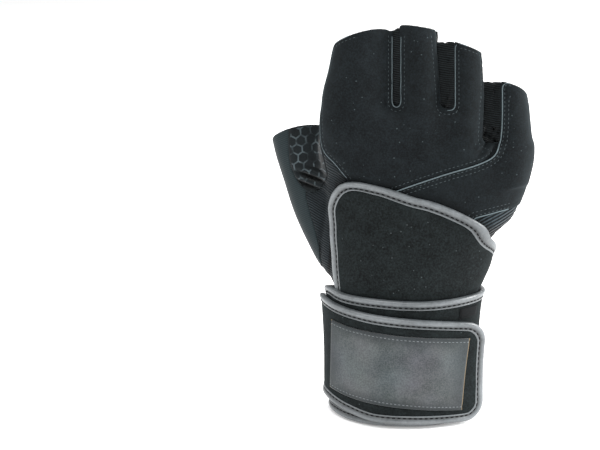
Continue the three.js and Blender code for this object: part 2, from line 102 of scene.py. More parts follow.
FINGER_ROWS = {
    "index": [
        (0.63, -0.19, 0.165, -0.027, 0.45, 2.3, 0, 0),
        (0.711, -0.204, 0.184, -0.027, 0.473, 2.3, 2, 0),
        (0.8, -0.206, 0.176, 0.014, 0.427, 2.3, 8, 2),
        (0.884, -0.197, 0.154, 0.092, 0.389, 2.25, 15, 6),
        (0.955, -0.184, 0.136, 0.195, 0.359, 2.2, 22, 11),
    ],
    "middle": [
        (0.63, 0.082, 0.112, -0.027, 0.46, 2.3, 0, 0),
        (0.711, 0.084, 0.112, -0.027, 0.476, 2.3, 2, 0),
        (0.8, 0.084, 0.1, 0.014, 0.427, 2.3, 8, 0),
        (0.884, 0.083, 0.097, 0.092, 0.389, 2.25, 15, -2),
        (0.966, 0.079, 0.094, 0.205, 0.359, 2.2, 22, -6),
    ],
    "ring": [
        (0.63, 0.286, 0.112, -0.027, 0.45, 2.3, 0, 0),
        (0.711, 0.289, 0.105, -0.016, 0.459, 2.3, 4, 0),
        (0.8, 0.289, 0.101, 0.032, 0.405, 2.3, 11, -4),
        (0.868, 0.289, 0.1, 0.114, 0.368, 2.25, 17, -10),
        (0.921, 0.288, 0.098, 0.197, 0.346, 2.2, 22, -18),
    ],
    "little": [
        (0.6, 0.475, 0.108, 0, 0.38, 2.3, 0, 0),
        (0.653, 0.498, 0.114, 0, 0.405, 2.3, 4, 0),
        (0.726, 0.508, 0.1, 0.038, 0.368, 2.3, 10, -4),
        (0.784, 0.503, 0.096, 0.108, 0.335, 2.25, 16, -10),
        (0.829, 0.497, 0.092, 0.184, 0.314, 2.2, 22, -16),
    ],
    "thumb": [
        (0.368, -0.205, 0.145, 0.108, 0.392, 2.2, 0, 24),
        (0.442, -0.276, 0.171, 0.162, 0.384, 2.2, 0, 25),
        (0.537, -0.378, 0.157, 0.227, 0.362, 2.2, 2, 21),
        (0.616, -0.449, 0.135, 0.265, 0.341, 2.15, 8, 16),
        (0.674, -0.493, 0.126, 0.292, 0.319, 2.1, 14, 14),
        (0.721, -0.517, 0.123, 0.324, 0.303, 2.1, 20, 15),
    ],
}

# Outlines on the plane of the hand, as shares of the palm's width and the glove's length.
THUMB_ZONE = [
    (-0.394, 0.8), (-0.394, 0.726), (-0.373, 0.689), (-0.316, 0.666), (-0.255, 0.629),
    (-0.23, 0.589), (-0.23, 0.358), (-0.316, 0.305), (-0.765, 0.305), (-0.765, 0.8),
]
GRIP_ZONE = [
    (-0.394, 0.8), (-0.394, 0.726), (-0.373, 0.689), (-0.347, 0.632), (-0.371, 0.6),
    (-0.424, 0.574), (-0.493, 0.592), (-0.551, 0.651), (-0.545, 0.8),
]
OUTER_STRIP_ZONE = [
    (-0.5, 0.8), (-0.505, 0.66), (-0.46, 0.605), (-0.465, 0.568), (-0.406, 0.458),
    (-0.394, 0.389), (-0.367, 0.305), (-0.765, 0.305), (-0.765, 0.8),
]
THUMB_PALM_ZONE = [
    (-0.394, 0.8), (-0.39, 0.653), (-0.357, 0.611), (-0.291, 0.576), (-0.194, 0.516),
    (-0.128, 0.458), (-0.112, 0.411), (-0.153, 0.345), (-0.224, 0.305), (-0.765, 0.305), (-0.765, 0.8),
]
SIDE_ZONE = [
    (-0.306, 0.542), (-0.009, 0.608), (0.209, 0.647), (0.382, 0.671), (0.443, 0.689), (0.467, 0.734),
    (0.471, 0.8), (0.471, 0.95), (0.765, 0.95), (0.765, -0.05), (-0.765, -0.05), (-0.765, 0.305),
    (-0.306, 0.305),
]
SIDE_GUSSET_ZONE = [
    (0.316, 0.529), (0.449, 0.543), (0.546, 0.549), (0.765, 0.558), (0.765, 0.368), (0.357, 0.368),
]

# Curves seen from the side: share of the glove's length, then share of the palm's depth.
BACK_EDGE = [(0.6, -0.19), (0.711, -0.19), (0.8, -0.15), (0.884, -0.08), (0.96, 0.03), (1.1, 0.25)]
PALM_EDGE = [(0.6, 0.1), (0.711, 0.12), (0.8, 0.18), (0.884, 0.27), (0.96, 0.38), (1.1, 0.6)]
HAND_SEAM = [(-0.1, 0.06), (0.5, 0.06), (0.711, 0.1), (0.8, 0.16), (0.884, 0.25), (0.96, 0.36), (1.1, 0.58)]
THUMB_SEAM = [(-0.1, 0.2), (0.45, 0.2), (0.62, 0.28), (0.72, 0.34), (0.82, 0.5), (1.1, 0.9)]

# The gaps between fingers: from, to, crotch, the fingers on either side, how far the left side stands to the
# right at the gap's foot in mm, and the radius of the foot's corners in mm.
GAP_ROWS = {
    "fourchette_index_middle": (-0.043, -0.005, 0.802, "index", "middle", 0.0, 1.8),
    "fourchette_middle_ring": (0.159, 0.25, 0.796, "middle", "ring", 2.2, 2.0),
    "fourchette_ring_little": (0.396, 0.467, 0.71, "ring", "little", -1.8, 3.0),
}

# The shorter finger beside each gap: the stretch cloth ends just below its mouth.
GAP_TOPS = {
    "fourchette_index_middle": "index",
    "fourchette_middle_ring": "ring",
    "fourchette_ring_little": "little",
}

# Creases across the palm: height at the middle, rise towards the thumb in degrees, depth and width in mm.
CREASE_ROWS = [(0.684, 2, 2.2, 1.3), (0.643, 4, 2.6, 1.3), (0.6, 6, 3.0, 1.6)]

# The strap's plan: turn in degrees, top and bottom as shares of the cuff's height.
STRAP_ROWS = [
    (-64, 1.823, 0.806), (-47, 1.892, 0.806), (-35, 1.915, 0.806), (-19, 1.882, 0.806), (0, 1.787, 0.806),
    (24, 1.65, 0.806), (57, 1.461, 0.774), (80, 1.371, 0.677), (112, 1.234, 0.355), (145, 1.097, 0.097),
    (170, 0.992, 0.048), (195, 0.944, 0.024), (240, 0.96, 0.016), (290, 1.052, 0.016), (310, 1.032, 0.008),
    (340, 1.019, 0), (372, 1.003, 0), (410, 1.01, 0), (440, 1.003, 0.032), (470, 0.984, 0.161),
    (505, 0.919, 0.177), (530, 0.871, 0.145), (555, 0.839, 0.129), (600, 0.855, 0.129), (640, 0.971, 0.14),
    (676, 0.94, 0.092), (704, 0.903, 0.042), (732, 0.871, 0.032), (770, 0.819, 0.013), (785, 0.79, 0.019),
]
CORNER_START = 11.0
CORNER_START_LOW = 5.0
CORNER_END = 9.0

# The patch on the tab and the pad beside it: turns at top and bottom of their two ends, tops and bottoms as
# shares of the cuff, how far out their inner and outer faces lie, their size, the columns and rows of their mesh,
# and how deep their stitches pull in.
PATCH_PLAN = {
    "from": (663, 657), "to": (769, 764), "top": (0.816, 0.694), "bottom": (0.25, 0.119),
    "low": STRAP_THICKNESS + 0.35, "high": 2.95, "size": (62.0, 35.0), "grid": (90, 50), "dip": 0.25,
}
PAD_PLAN = {
    "from": (404, 404), "to": (426, 426), "top": (0.92, 0.92), "bottom": (0.836, 0.836),
    "low": STRAP_THICKNESS + 0.3, "high": 2.6, "size": (9.0, 5.0), "grid": (24, 14), "dip": 0.0,
}

# Threads: each stitch's length, width and height, and the pitch from one to the next.
SEAM_THREAD = (1.25, 0.34, 0.24)
SEAM_STITCH_PITCH = 2.0
BINDING_THREAD = (1.9, 0.75, 0.4)
BINDING_STITCH_PITCH = 2.6
PATCH_THREAD_SIZE = (1.3, 0.34, 0.22)
PATCH_STITCH_PITCH = 1.9

# Boxes that the knuckles, the gaps and the thumb lie in, a finger's half box, and the thumb's foot.
KNUCKLE_BOX = ((-60, -26, 112), (62, 26, 165))
GAPS_BOX = ((-12, -22, 120), (52, 24, 190))
THUMB_BOX = ((-65, -25, 55), (0, 27, 155))
FINGER_ROOM = 26
THUMB_FOOT = 66

# The grid that the cloth forms are worked out on.
GRID_STEP = 0.67
GRID_LOW = np.array([-65.0, -25.0, -3.0])
GRID_HIGH = np.array([64.0, 27.0, 194.0])
FAR = 30.0

# Radii that the parts of the hand's form blend into each other with.
HAND_TOP_BLEND = 6.0
KNUCKLE_TOP_BLEND = 5.0
KNUCKLE_BLEND = 3.0
FINGER_BLEND = 1.6
FINGER_FOOT_BLEND = 3.5
GAP_BLEND = 0.8
THUMB_BLEND = 5.0

# How far a loft goes on straight past both of its ends.
RUN_ON = 9.0


def bell(*offsets):
    """Falls from 1 towards 0 as the offsets grow, each measured in widths of the bell."""
    return np.exp(-sum(off**2 for off in offsets))


def climb(value, start, reach):
    """Goes from 0 at a start to 1 a reach beyond it."""
    return np.clip((value - start) / reach, 0, 1)


def off_segment(x, z, start, end, least=0.0):
    """How far points lie from the nearest place of a straight line, along x and along z."""
    dx, dz = end[0] - start[0], end[1] - start[1]
    t = np.clip(((x - start[0]) * dx + (z - start[1]) * dz) / (dx * dx + dz * dz + least), 0, 1)
    return x - start[0] - t * dx, z - start[1] - t * dz


def pchip(values, at):
    """A smooth curve through evenly spaced values that adds no bumps of its own."""
    y = np.asarray(values, float)
    rise = np.diff(y)
    slope = np.zeros_like(y)
    slope[0], slope[-1] = rise[0], rise[-1]
    both = rise[:-1] * rise[1:]
    safe = np.where(np.abs(rise[:-1] + rise[1:]) < 1e-12, 1, rise[:-1] + rise[1:])
    slope[1:-1] = np.where(both > 0, 2 * both / safe, 0)
    k = np.clip(np.floor(at).astype(int), 0, len(y) - 2)
    t = at - k
    return (
        y[k] * (1 + 2 * t) * (1 - t) ** 2
        + slope[k] * t * (1 - t) ** 2
        + y[k + 1] * t * t * (3 - 2 * t)
        + slope[k + 1] * t * t * (t - 1)
    )


class Loft:
    """A run of rounded sections along a bent axis, read at any point of it."""

    SCALE = (GLOVE_LENGTH, PALM_WIDTH, PALM_WIDTH, PALM_DEPTH, PALM_DEPTH, 1, math.pi / 180, math.pi / 180)
    KEYS = ("z", "x", "half_width", "y", "half_depth", "squareness", "curl", "lean")

    def __init__(self, rows):
        table = np.array(rows, float) * self.SCALE
        at = np.linspace(0, len(rows) - 1, 40 * (len(rows) - 1) + 1)
        column = {key: pchip(table[:, i], at) for i, key in enumerate(self.KEYS)}
        first = {key: column[key][0] for key in self.KEYS}
        last = {key: column[key][-1] for key in self.KEYS}
        self.tip = last
        for end, away in ((first, -RUN_ON), (last, RUN_ON)):
            axis = dict(zip("xyz", self.axis(end["curl"], end["lean"])))
            for key in self.KEYS:
                value = [end[key] + away * axis.get(key, 0)]
                column[key] = np.concatenate([value, column[key]] if away < 0 else [column[key], value])
        self.column = column

    @staticmethod
    def axis(curl, lean):
        return (-np.cos(curl) * np.sin(lean), np.sin(curl), np.cos(curl) * np.cos(lean))

    def read(self, key, z):
        return np.interp(z, self.column["z"], self.column[key])

    def place(self, x, y, z):
        """Where a point lies in the section that it belongs to: across, deep, and the section's height."""
        height = z
        for _ in range(3):
            axis = self.axis(self.read("curl", height), self.read("lean", height))
            off = (x - self.read("x", height)) * axis[0] + (y - self.read("y", height)) * axis[1]
            off = off + (z - height) * axis[2]
            height = height + off * axis[2]
        curl, lean = self.read("curl", height), self.read("lean", height)
        dx, dy, dz = x - self.read("x", height), y - self.read("y", height), z - height
        across = dx * np.cos(lean) + dz * np.sin(lean)
        deep = dx * np.sin(curl) * np.sin(lean) + dy * np.cos(curl) - dz * np.sin(curl) * np.cos(lean)
        return across, deep, height

    def distance(self, x, y, z):
        across, deep, height = self.place(x, y, z)
        a, b = self.read("half_width", height), self.read("half_depth", height)
        n = self.read("squareness", height)
        u, v = np.abs(across) / a + 1e-6, np.abs(deep) / b + 1e-6
        total = u**n + v**n
        radius = total ** (1 / n)
        slope = radius / total * np.sqrt((u ** (n - 1) / a) ** 2 + (v ** (n - 1) / b) ** 2)
        return np.maximum((radius - 1) / slope, -np.minimum(a, b))

    def past_tip(self, x, y, z, dish=0.0, tilt=0.0):
        """How far a point lies beyond the mouth. A dish lets its sides fall, and a tilt its right side."""
        tip = self.tip
        axis = self.axis(tip["curl"], tip["lean"])
        beyond = (x - tip["x"]) * axis[0] + (y - tip["y"]) * axis[1] + (z - tip["z"]) * axis[2]
        across = (x - tip["x"]) * math.cos(tip["lean"]) + (z - tip["z"]) * math.sin(tip["lean"])
        share = across / tip["half_width"]
        return beyond + dish * share**2 + tilt * share


def smooth_min(a, b, k):
    h = np.clip(0.5 + 0.5 * (b - a) / k, 0, 1)
    return b * (1 - h) + a * h - k * h * (1 - h)


def smooth_max(a, b, k):
    return -smooth_min(-a, -b, k)


LOFTS = {name: Loft(rows) for name, rows in FINGER_ROWS.items()}
HAND = Loft(HAND_ROWS)
KNUCKLES = Loft(KNUCKLE_ROWS)
FINGERS = ("index", "middle", "ring", "little")

AXES = [np.arange(GRID_LOW[i], GRID_HIGH[i], GRID_STEP) for i in range(3)]
GX = AXES[0][:, None, None].astype(np.float32)
GY = AXES[1][None, :, None].astype(np.float32)
GZ = AXES[2][None, None, :].astype(np.float32)


def window(low, high):
    """The grid's slices inside a box."""
    cuts = []
    for i in range(3):
        start = max(int((low[i] - GRID_LOW[i]) / GRID_STEP), 0)
        stop = min(int((high[i] - GRID_LOW[i]) / GRID_STEP) + 2, len(AXES[i]))
        cuts.append(slice(start, stop))
    return tuple(cuts)


def low_corner(cut):
    """Where the grid inside a window begins."""
    return np.array([AXES[i][cut[i].start] for i in range(3)])


def grid_points(cut):
    return GX[cut[0], :, :], GY[:, cut[1], :], GZ[:, :, cut[2]]


def gap_web(x, y, z, name, left, right):
    """The stretch cloth that closes the gap between two fingers, a little behind their fronts."""
    into_fingers, palm_side, below_mouth = 3.0, 3.0, 1.0
    near = left.read("x", z) + left.read("half_width", z)
    far = right.read("x", z) - right.read("half_width", z)
    middle = (left.read("y", z) + right.read("y", z)) / 2
    deep = np.minimum(left.read("half_depth", z), right.read("half_depth", z)) - 2.6
    half = np.maximum((far - near) / 2, 0) + into_fingers
    off = (x - (near + far) / 2) / half
    sag = 1.5 * np.clip(1 - off**2, 0, 1) + 0.3 * np.sin(z * 0.7 + x * 0.6)
    across = np.abs(x - (near + far) / 2) - half
    ruffle = 0.6 * np.sin(0.9 * x + 0.5 * y)
    top = LOFTS[GAP_TOPS[name]].past_tip(x, y, z) + below_mouth + ruffle
    behind = np.where(y > middle, palm_side, 0)
    return np.maximum(np.maximum(across, np.abs(y - middle) - deep + sag + behind), top)


def hand_field():
    """Distance to the whole hand's outer form, negative inside."""
    shape = tuple(len(axis) for axis in AXES)
    hand = HAND.distance(GX, GY, GZ) + np.zeros(shape, np.float32)
    field = smooth_max(hand, GZ - HAND_TOP * GLOVE_LENGTH, HAND_TOP_BLEND)
    cut = window(*KNUCKLE_BOX)
    x, y, z = grid_points(cut)
    knuckles = smooth_max(KNUCKLES.distance(x, y, z), z - KNUCKLE_TOP * GLOVE_LENGTH, KNUCKLE_TOP_BLEND)
    knuckles = np.maximum(knuckles, KNUCKLE_FOOT - z)
    field[cut] = smooth_min(field[cut], knuckles, KNUCKLE_BLEND)
    fingers = np.full(shape, FAR, np.float32)
    for name in FINGERS:
        loft = LOFTS[name]
        middle = loft.tip["x"]
        cut = window((middle - FINGER_ROOM, -25, 112), (middle + FINGER_ROOM, 27, 194))
        x, y, z = grid_points(cut)
        foot = FINGER_ROWS[name][0][0] * GLOVE_LENGTH + 3
        one = np.maximum(loft.distance(x, y, z), foot - z)
        fingers[cut] = smooth_min(fingers[cut], one, FINGER_BLEND)
    cut = window(*GAPS_BOX)
    x, y, z = grid_points(cut)
    for name, (_, _, _, left, right, _, _) in GAP_ROWS.items():
        web = gap_web(x, y, z, name, LOFTS[left], LOFTS[right])
        fingers[cut] = smooth_min(fingers[cut], web, GAP_BLEND)
    field = smooth_min(field, fingers, FINGER_FOOT_BLEND)
    cut = window(*THUMB_BOX)
    x, y, z = grid_points(cut)
    thumb = np.maximum(LOFTS["thumb"].distance(x, y, z), THUMB_FOOT - z)
    field[cut] = smooth_min(field[cut], thumb, THUMB_BLEND)
    return field.astype(np.float32)


FIELD = hand_field()


def sample(field, points, low=GRID_LOW):
    """Reads a grid of values between its points. The low corner is where the grid begins."""
    at = (np.asarray(points) - low) / GRID_STEP
    top = np.array(field.shape) - 1.001
    at = np.clip(at, 0, top)
    base = at.astype(int)
    part = at - base
    total = np.zeros(len(at))
    for corner in range(8):
        pick = np.array([corner & 1, corner >> 1 & 1, corner >> 2 & 1])
        weight = np.prod(np.where(pick, part, 1 - part), axis=1)
        index = base + pick
        total += weight * field[index[:, 0], index[:, 1], index[:, 2]]
    return total


def field_normal(field, points, step=0.9):
    points = np.asarray(points)
    normal = np.stack([
        sample(field, points + step * np.eye(3)[i]) - sample(field, points - step * np.eye(3)[i])
        for i in range(3)
    ], axis=1)
    return normal / np.maximum(np.linalg.norm(normal, axis=1, keepdims=True), 1e-6)


def outline_distance(zone, soften=2):
    """Distance to an outline on the plane of the hand, negative inside, as a grid of x by z."""
    points = np.array(zone, float) * (PALM_WIDTH, GLOVE_LENGTH)
    for _ in range(soften):
        after = np.roll(points, -1, axis=0)
        points = np.stack([points * 0.8 + after * 0.2, points * 0.2 + after * 0.8], axis=1).reshape(-1, 2)
    return polygon_distance(points, AXES[0][:, None], AXES[2][None, :])


def polygon_distance(points, x, z):
    """Distance to a closed outline, negative inside."""
    best = np.full(np.broadcast(x, z).shape, 1e9)
    inside = np.zeros(best.shape, bool)
    for (x0, z0), (x1, z1) in zip(points, np.roll(points, -1, axis=0)):
        off_x, off_z = off_segment(x, z, (x0, z0), (x1, z1), 1e-12)
        best = np.minimum(best, off_x**2 + off_z**2)
        crosses = ((z0 > z) != (z1 > z)) & (x < (x1 - x0) * (z - z0) / (z1 - z0 + 1e-12) + x0)
        inside ^= crosses
    return np.where(inside, -1, 1) * np.sqrt(best)


def curve_y(curve, z):
    rows = np.array(curve, float)
    return np.interp(z, rows[:, 0] * GLOVE_LENGTH, rows[:, 1] * PALM_DEPTH)


def surface_mesh(field, cut):
    """Turns the zero level of a field into a smooth mesh, by surface nets. Returns its points and faces."""
    shape = field.shape
    offsets = np.array([(i, j, k) for i in (0, 1) for j in (0, 1) for k in (0, 1)])
    corners = [field[i:shape[0] - 1 + i, j:shape[1] - 1 + j, k:shape[2] - 1 + k] for i, j, k in offsets]
    inside = sum((c < 0).astype(np.int8) for c in corners)
    cells = np.argwhere((inside > 0) & (inside < 8))
    values = np.stack([c[tuple(cells.T)] for c in corners], axis=1)
    total, count = np.zeros((len(cells), 3)), np.zeros(len(cells))
    for a in range(8):
        for b in sorted({a | 4, a | 2, a | 1} - {a}, reverse=True):
            crossing = (values[:, a] < 0) != (values[:, b] < 0)
            gap = np.where(crossing, values[:, a] - values[:, b], 1)
            share = values[:, a] / gap
            point = offsets[a] + share[:, None] * (offsets[b] - offsets[a])
            total += np.where(crossing[:, None], point, 0)
            count += crossing
    points = (cells + total / count[:, None]) * GRID_STEP + low_corner(cut)
    index = np.full(np.array(shape) - 1, -1, np.int32)
    index[tuple(cells.T)] = np.arange(len(cells))
    faces = []
    for axis in range(3):
        first = np.take(field, range(shape[axis] - 1), axis)
        second = np.take(field, range(1, shape[axis]), axis)
        one, other = [i for i in range(3) if i != axis]
        for leaving in (True, False):
            change = (first < 0) & (second >= 0) if leaving else (first >= 0) & (second < 0)
            edge = np.argwhere(change)
            keep = np.all([(edge[:, o] > 0) & (edge[:, o] < shape[o] - 1) for o in (one, other)], axis=0)
            edge = edge[keep]
            quad = []
            for du, dv in ((0, 0), (1, 0), (1, 1), (0, 1)):
                cell = edge.copy()
                cell[:, one] -= du
                cell[:, other] -= dv
                quad.append(index[tuple(cell.T)])
            quad = np.stack(quad, axis=1)
            if leaving == (axis == 1):
                quad = quad[:, ::-1]
            faces.append(quad)
    faces = np.concatenate(faces)
    return points, faces[(faces >= 0).all(axis=1)]


def relax(points, faces):
    """Evens out a mesh's points: each smoothing step is followed by one that takes its shrinking back."""
    edges = np.concatenate([faces[:, [i, (i + 1) % 4]] for i in range(4)])
    count = np.bincount(edges[:, 0], minlength=len(points)) + np.bincount(edges[:, 1], minlength=len(points))
    for strength in (0.5, -0.52, 0.5, -0.52):
        mean = np.zeros_like(points)
        for i in range(3):
            mean[:, i] = (
                np.bincount(edges[:, 0], points[edges[:, 1], i], len(points))
                + np.bincount(edges[:, 1], points[edges[:, 0], i], len(points))
            )
        mean /= np.maximum(count, 1)[:, None]
        points = points + (mean - points) * strength
    return points


def link_object(name, data):
    piece = bpy.data.objects.new(name, data)
    bpy.context.collection.objects.link(piece)
    return piece


def shade_smooth(mesh):
    mesh.polygons.foreach_set("use_smooth", np.ones(len(mesh.polygons), bool))


def add_values(mesh, key, values):
    layer = mesh.attributes.new(key, "FLOAT", "POINT")
    layer.data.foreach_set("value", np.asarray(values, np.float32))


def make_object(name, points, faces, attributes=None, uv=None):
    """A smooth-shaded mesh object from points in millimetres."""
    mesh = bpy.data.meshes.new(name)
    mesh.from_pydata((np.asarray(points) * MM).tolist(), [], np.asarray(faces).tolist())
    mesh.update()
    shade_smooth(mesh)
    for key, values in (attributes or {}).items():
        add_values(mesh, key, values)
    if uv is not None:
        layer = mesh.uv_layers.new(name="UVMap")
        loops = np.empty(len(mesh.loops), np.int32)
        mesh.loops.foreach_get("vertex_index", loops)
        layer.data.foreach_set("uv", np.asarray(uv, np.float32)[loops].ravel())
    return link_object(name, mesh)


def finish_piece(piece, material, slot, *nodes):
    """Gives a piece its material and its body, and hides the nodes that it stands for. The slot is not used."""
    piece.data.materials.clear()
    piece.data.materials.append(material)
    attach(piece, "root")
    if nodes:
        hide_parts(*nodes)
    return piece


# Slow waves that keep every panel from looking machined.
rng = np.random.default_rng(SEED)
WAVES = [(rng.normal(size=3), rng.uniform(0, 2 * math.pi), rng.uniform(14, 30)) for _ in range(7)]


def slow_waves(x, y, z):
    total = 0
    for direction, phase, length in WAVES:
        d = direction / np.linalg.norm(direction)
        total = total + np.sin(2 * math.pi * (x * d[0] + y * d[1] + z * d[2]) / length + phase)
    return total / len(WAVES)


def line_distance(x, z, points):
    """Distance to a run of straight lines on the plane of the hand."""
    best = 1e9
    for start, end in zip(points, points[1:]):
        best = np.minimum(best, np.hypot(*off_segment(x, z, start, end)))
    return best


def palm_folds(x, y, z):
    """How far the palm sinks in its creases and swells beside them."""
    sink = 0
    fade = climb(x, -37, 12)
    for share, tilt, depth, width in CREASE_ROWS:
        line = share * GLOVE_LENGTH - (x - 8) * math.tan(math.radians(tilt))
        line = line + 0.9 * np.sin(x / 5.5 + share * 90)
        away = z - line
        sink = sink + fade * depth * bell(away / width)
        sink = sink - fade * 0.75 * bell((np.abs(away) - 3.3) / 1.6)
    return sink * climb(y, 2, 7)


# How far down the palm side each gap between fingers shows as a drawn-in line with painted shade, as a share of
# the glove's length.
GAP_LINES = {"fourchette_index_middle": 0.83, "fourchette_middle_ring": 0.86, "fourchette_ring_little": 0.75}


def gap_lines(x, y, z):
    """How far the palm's cloth is drawn in between the fingers."""
    sink = 0
    for name, foot in GAP_LINES.items():
        left, right = LOFTS[GAP_ROWS[name][3]], LOFTS[GAP_ROWS[name][4]]
        near, far = left.read("x", z) + left.read("half_width", z), right.read("x", z)
        middle = (near + far - right.read("half_width", z)) / 2
        sink = sink + 1.5 * climb(z, foot * GLOVE_LENGTH, 5) * bell(x - middle)
    return sink * climb(y, 5, 4)


# Folds on the thumb's palm side, each a run of places on the plane of the hand.
THUMB_FOLDS = [
    [(-17, 70), (-20, 84), (-27, 97)],
    [(-22, 68), (-26, 82), (-34, 96)],
    [(-27, 67), (-33, 80), (-41, 94)],
    [(-16, 90), (-24, 102), (-33, 112)],
    [(-33, 104), (-41, 112), (-52, 116)],
]


def thumb_folds(x, y, z):
    sink = 0
    for line in THUMB_FOLDS:
        away = line_distance(x, z, line)
        sink = sink + 0.9 * bell(away / 1.3) - 0.4 * bell((away - 3.2) / 1.8)
    return sink * climb(y, 1, 6)


# Puckers on the back: place in x and z, reach that way, depth, and the run and pitch of their wave.
PUCKER_ROWS = [
    (40, 134, 5, 6, 0.95, (1, -1), 1.1),
    (-33, 124, 6, 9, 0.45, (0.5, 1), 0.8),
]


def front_gathers(x, y, z):
    """Small puckers where the back's cloth is drawn in: by the ring and little finger's gap and the thumb."""
    puckers = 0
    for x0, z0, wide, tall, depth, run, pitch in PUCKER_ROWS:
        near = bell((x - x0) / wide, (z - z0) / tall)
        puckers = puckers + depth * np.sin((x * run[0] + z * run[1]) * pitch) * near
    return puckers * climb(-y, 0, 4)


ZONES = {
    "thumb": outline_distance(THUMB_ZONE),
    "grip": outline_distance(GRIP_ZONE),
    "outer_strip": outline_distance(OUTER_STRIP_ZONE, 1),
    "thumb_palm": outline_distance(THUMB_PALM_ZONE),
    "side": outline_distance(SIDE_ZONE),
    "side_gusset": outline_distance(SIDE_GUSSET_ZONE, 1),
}


def zone(name, cut):
    return ZONES[name][cut[0], cut[2]][:, None, :].astype(np.float32)


def band_between(cut, near, far):
    """Negative between two curves seen from the side."""
    _, y, z = grid_points(cut)
    return np.maximum(curve_y(near, z) - y, y - curve_y(far, z))


def gap_region(cut, row):
    """Negative in the slot and between the side walls of the fingers beside a gap."""
    start, stop, crotch, left, right, lean, radius = row
    x, y, z = grid_points(cut)
    floor = crotch * GLOVE_LENGTH
    near = start * PALM_WIDTH + lean * climb(floor + 32 - z, 0, 28)
    far = stop * PALM_WIDTH
    half = (far - near) / 2 - radius
    beside, below = np.abs(x - (near + far) / 2) - half, floor + radius - z
    rounded = np.hypot(np.maximum(beside, 0), np.maximum(below, 0)) - radius
    rounded = rounded + np.minimum(np.maximum(beside, below), 0)
    slot = np.maximum(rounded, y - 2)
    left_x, right_x = (LOFTS[finger].read("x", 150) for finger in (left, right))
    walls = np.maximum(band_between(cut, BACK_EDGE, PALM_EDGE), np.maximum(left_x - x, x - right_x))
    walls = np.maximum(walls, floor - 3 - z)
    return np.minimum(slot, walls)


def groove(region, inset, depth, width):
    """The pull of a topstitch that runs inside a panel's edge."""
    return -depth * bell((region + inset) / width)


def swell(region, amount, reach):
    """A padded cloth is fuller away from its edges."""
    return amount * (1 - np.exp(np.minimum(region, 0) / reach))


# The order in which the panels are cut: each leaves out what the ones before it cover, less a small overlap.
ORDER = (
    "thumb_grip_patch", "thumb_outer_strip", "hem_thumb", "thumb_gusset", "thumb_base_panel",
    "index_side_strip", "fourchette_index_middle", "fourchette_middle_ring", "fourchette_ring_little",
    "side_gusset", "side_panel", "back_panel", "hem_index", "hem_middle", "hem_ring", "hem_little",
    "palm_panel",
)
SEAM = -0.3


# How far each mouth's sides fall, and how much further the side by the little finger does.
MOUTHS = {
    "index": (0.5, -0.8),
    "middle": (-1.2, 0.6),
    "ring": (-1.0, 0.5),
    "little": (0.3, 0.3),
    "thumb": (0.8, 0),
}


def nearest_mouth(x, y, z):
    """How far beyond the nearest finger's mouth each point lies, and which finger that is."""
    hand = np.maximum(HAND.distance(x, y, z), z - 0.71 * GLOVE_LENGTH)
    knuckles = np.maximum(z - 0.79 * GLOVE_LENGTH, KNUCKLE_FOOT - z)
    knuckles = np.maximum(KNUCKLES.distance(x, y, z), knuckles)
    nearest = np.minimum(hand, knuckles) + 0 * (x + y)
    beyond = np.full(nearest.shape, -FAR, np.float32)
    which = np.full(nearest.shape, -1, np.int8)
    for number, name in enumerate(FINGERS + ("thumb",)):
        loft = LOFTS[name]
        near = loft.distance(x, y, z)
        closer = near < nearest
        beyond = np.where(closer, loft.past_tip(x, y, z, *MOUTHS[name]), beyond)
        which = np.where(closer, number, which)
        nearest = np.minimum(near, nearest)
    return beyond, which


def base_region(name, cut, beyond, which):
    """A piece's own outline, before the pieces that lie over it are taken away. Negative inside."""
    x, y, z = grid_points(cut)
    before_thumb_seam = y - curve_y(THUMB_SEAM, z)
    before_hand_seam = y - curve_y(HAND_SEAM, z)
    if name == "thumb_grip_patch":
        return np.maximum(zone("grip", cut), before_thumb_seam)
    if name == "thumb_outer_strip":
        return np.maximum(zone("outer_strip", cut), before_thumb_seam)
    if name.startswith("hem_"):
        number = (FINGERS + ("thumb",)).index(name[4:])
        return np.maximum(-beyond - HEM_HEIGHT, np.where(which == number, -FAR, FAR))
    if name == "thumb_gusset":
        return np.maximum(zone("thumb", cut), before_thumb_seam)
    if name == "thumb_base_panel":
        return zone("thumb_palm", cut)
    if name == "index_side_strip":
        outside = np.maximum(0.62 * GLOVE_LENGTH - z, x + 0.25 * PALM_WIDTH)
        return np.maximum(outside, band_between(cut, BACK_EDGE, PALM_EDGE))
    if name in GAP_ROWS:
        return gap_region(cut, GAP_ROWS[name])
    if name == "side_gusset":
        return np.maximum(zone("side_gusset", cut), before_hand_seam)
    if name == "side_panel":
        return np.maximum(zone("side", cut), before_hand_seam)
    if name == "back_panel":
        return before_hand_seam
    return np.full((1, 1, 1), -FAR, np.float32)


def panel_region(name, cut):
    """A piece's outline with a seam's gap to the pieces taken out before it."""
    x, y, z = grid_points(cut)
    beyond, which = nearest_mouth(x, y, z)
    region = np.maximum(base_region(name, cut, beyond, which), beyond)
    region = np.maximum(region, 0.3 - z)
    for other in ORDER[:ORDER.index(name)]:
        region = np.maximum(region, SEAM - base_region(other, cut, beyond, which))
    return region.astype(np.float32)


# The strap's upper edge over the back of the hand: x and height.
STRAP_TOP_ROWS = np.array([(-36, 60), (-31, 108), (-25, 112), (0, 107), (25, 99), (44, 86)])


def strap_top(x):
    return np.interp(x, STRAP_TOP_ROWS[:, 0], STRAP_TOP_ROWS[:, 1])


def strap_shade(x, y, z):
    """Painted shadow: the dark line where the strap's raised edge lies on the glove."""
    above = z - strap_top(x)
    near = np.clip(1 - (above - 6) / 5.5, 0, 1)
    return 0.85 * near * np.clip(1 - y / 3, 0, 1) * (z > strap_top(x) - 6)


PANELS = {}
EDGE_ROUND = 0.6


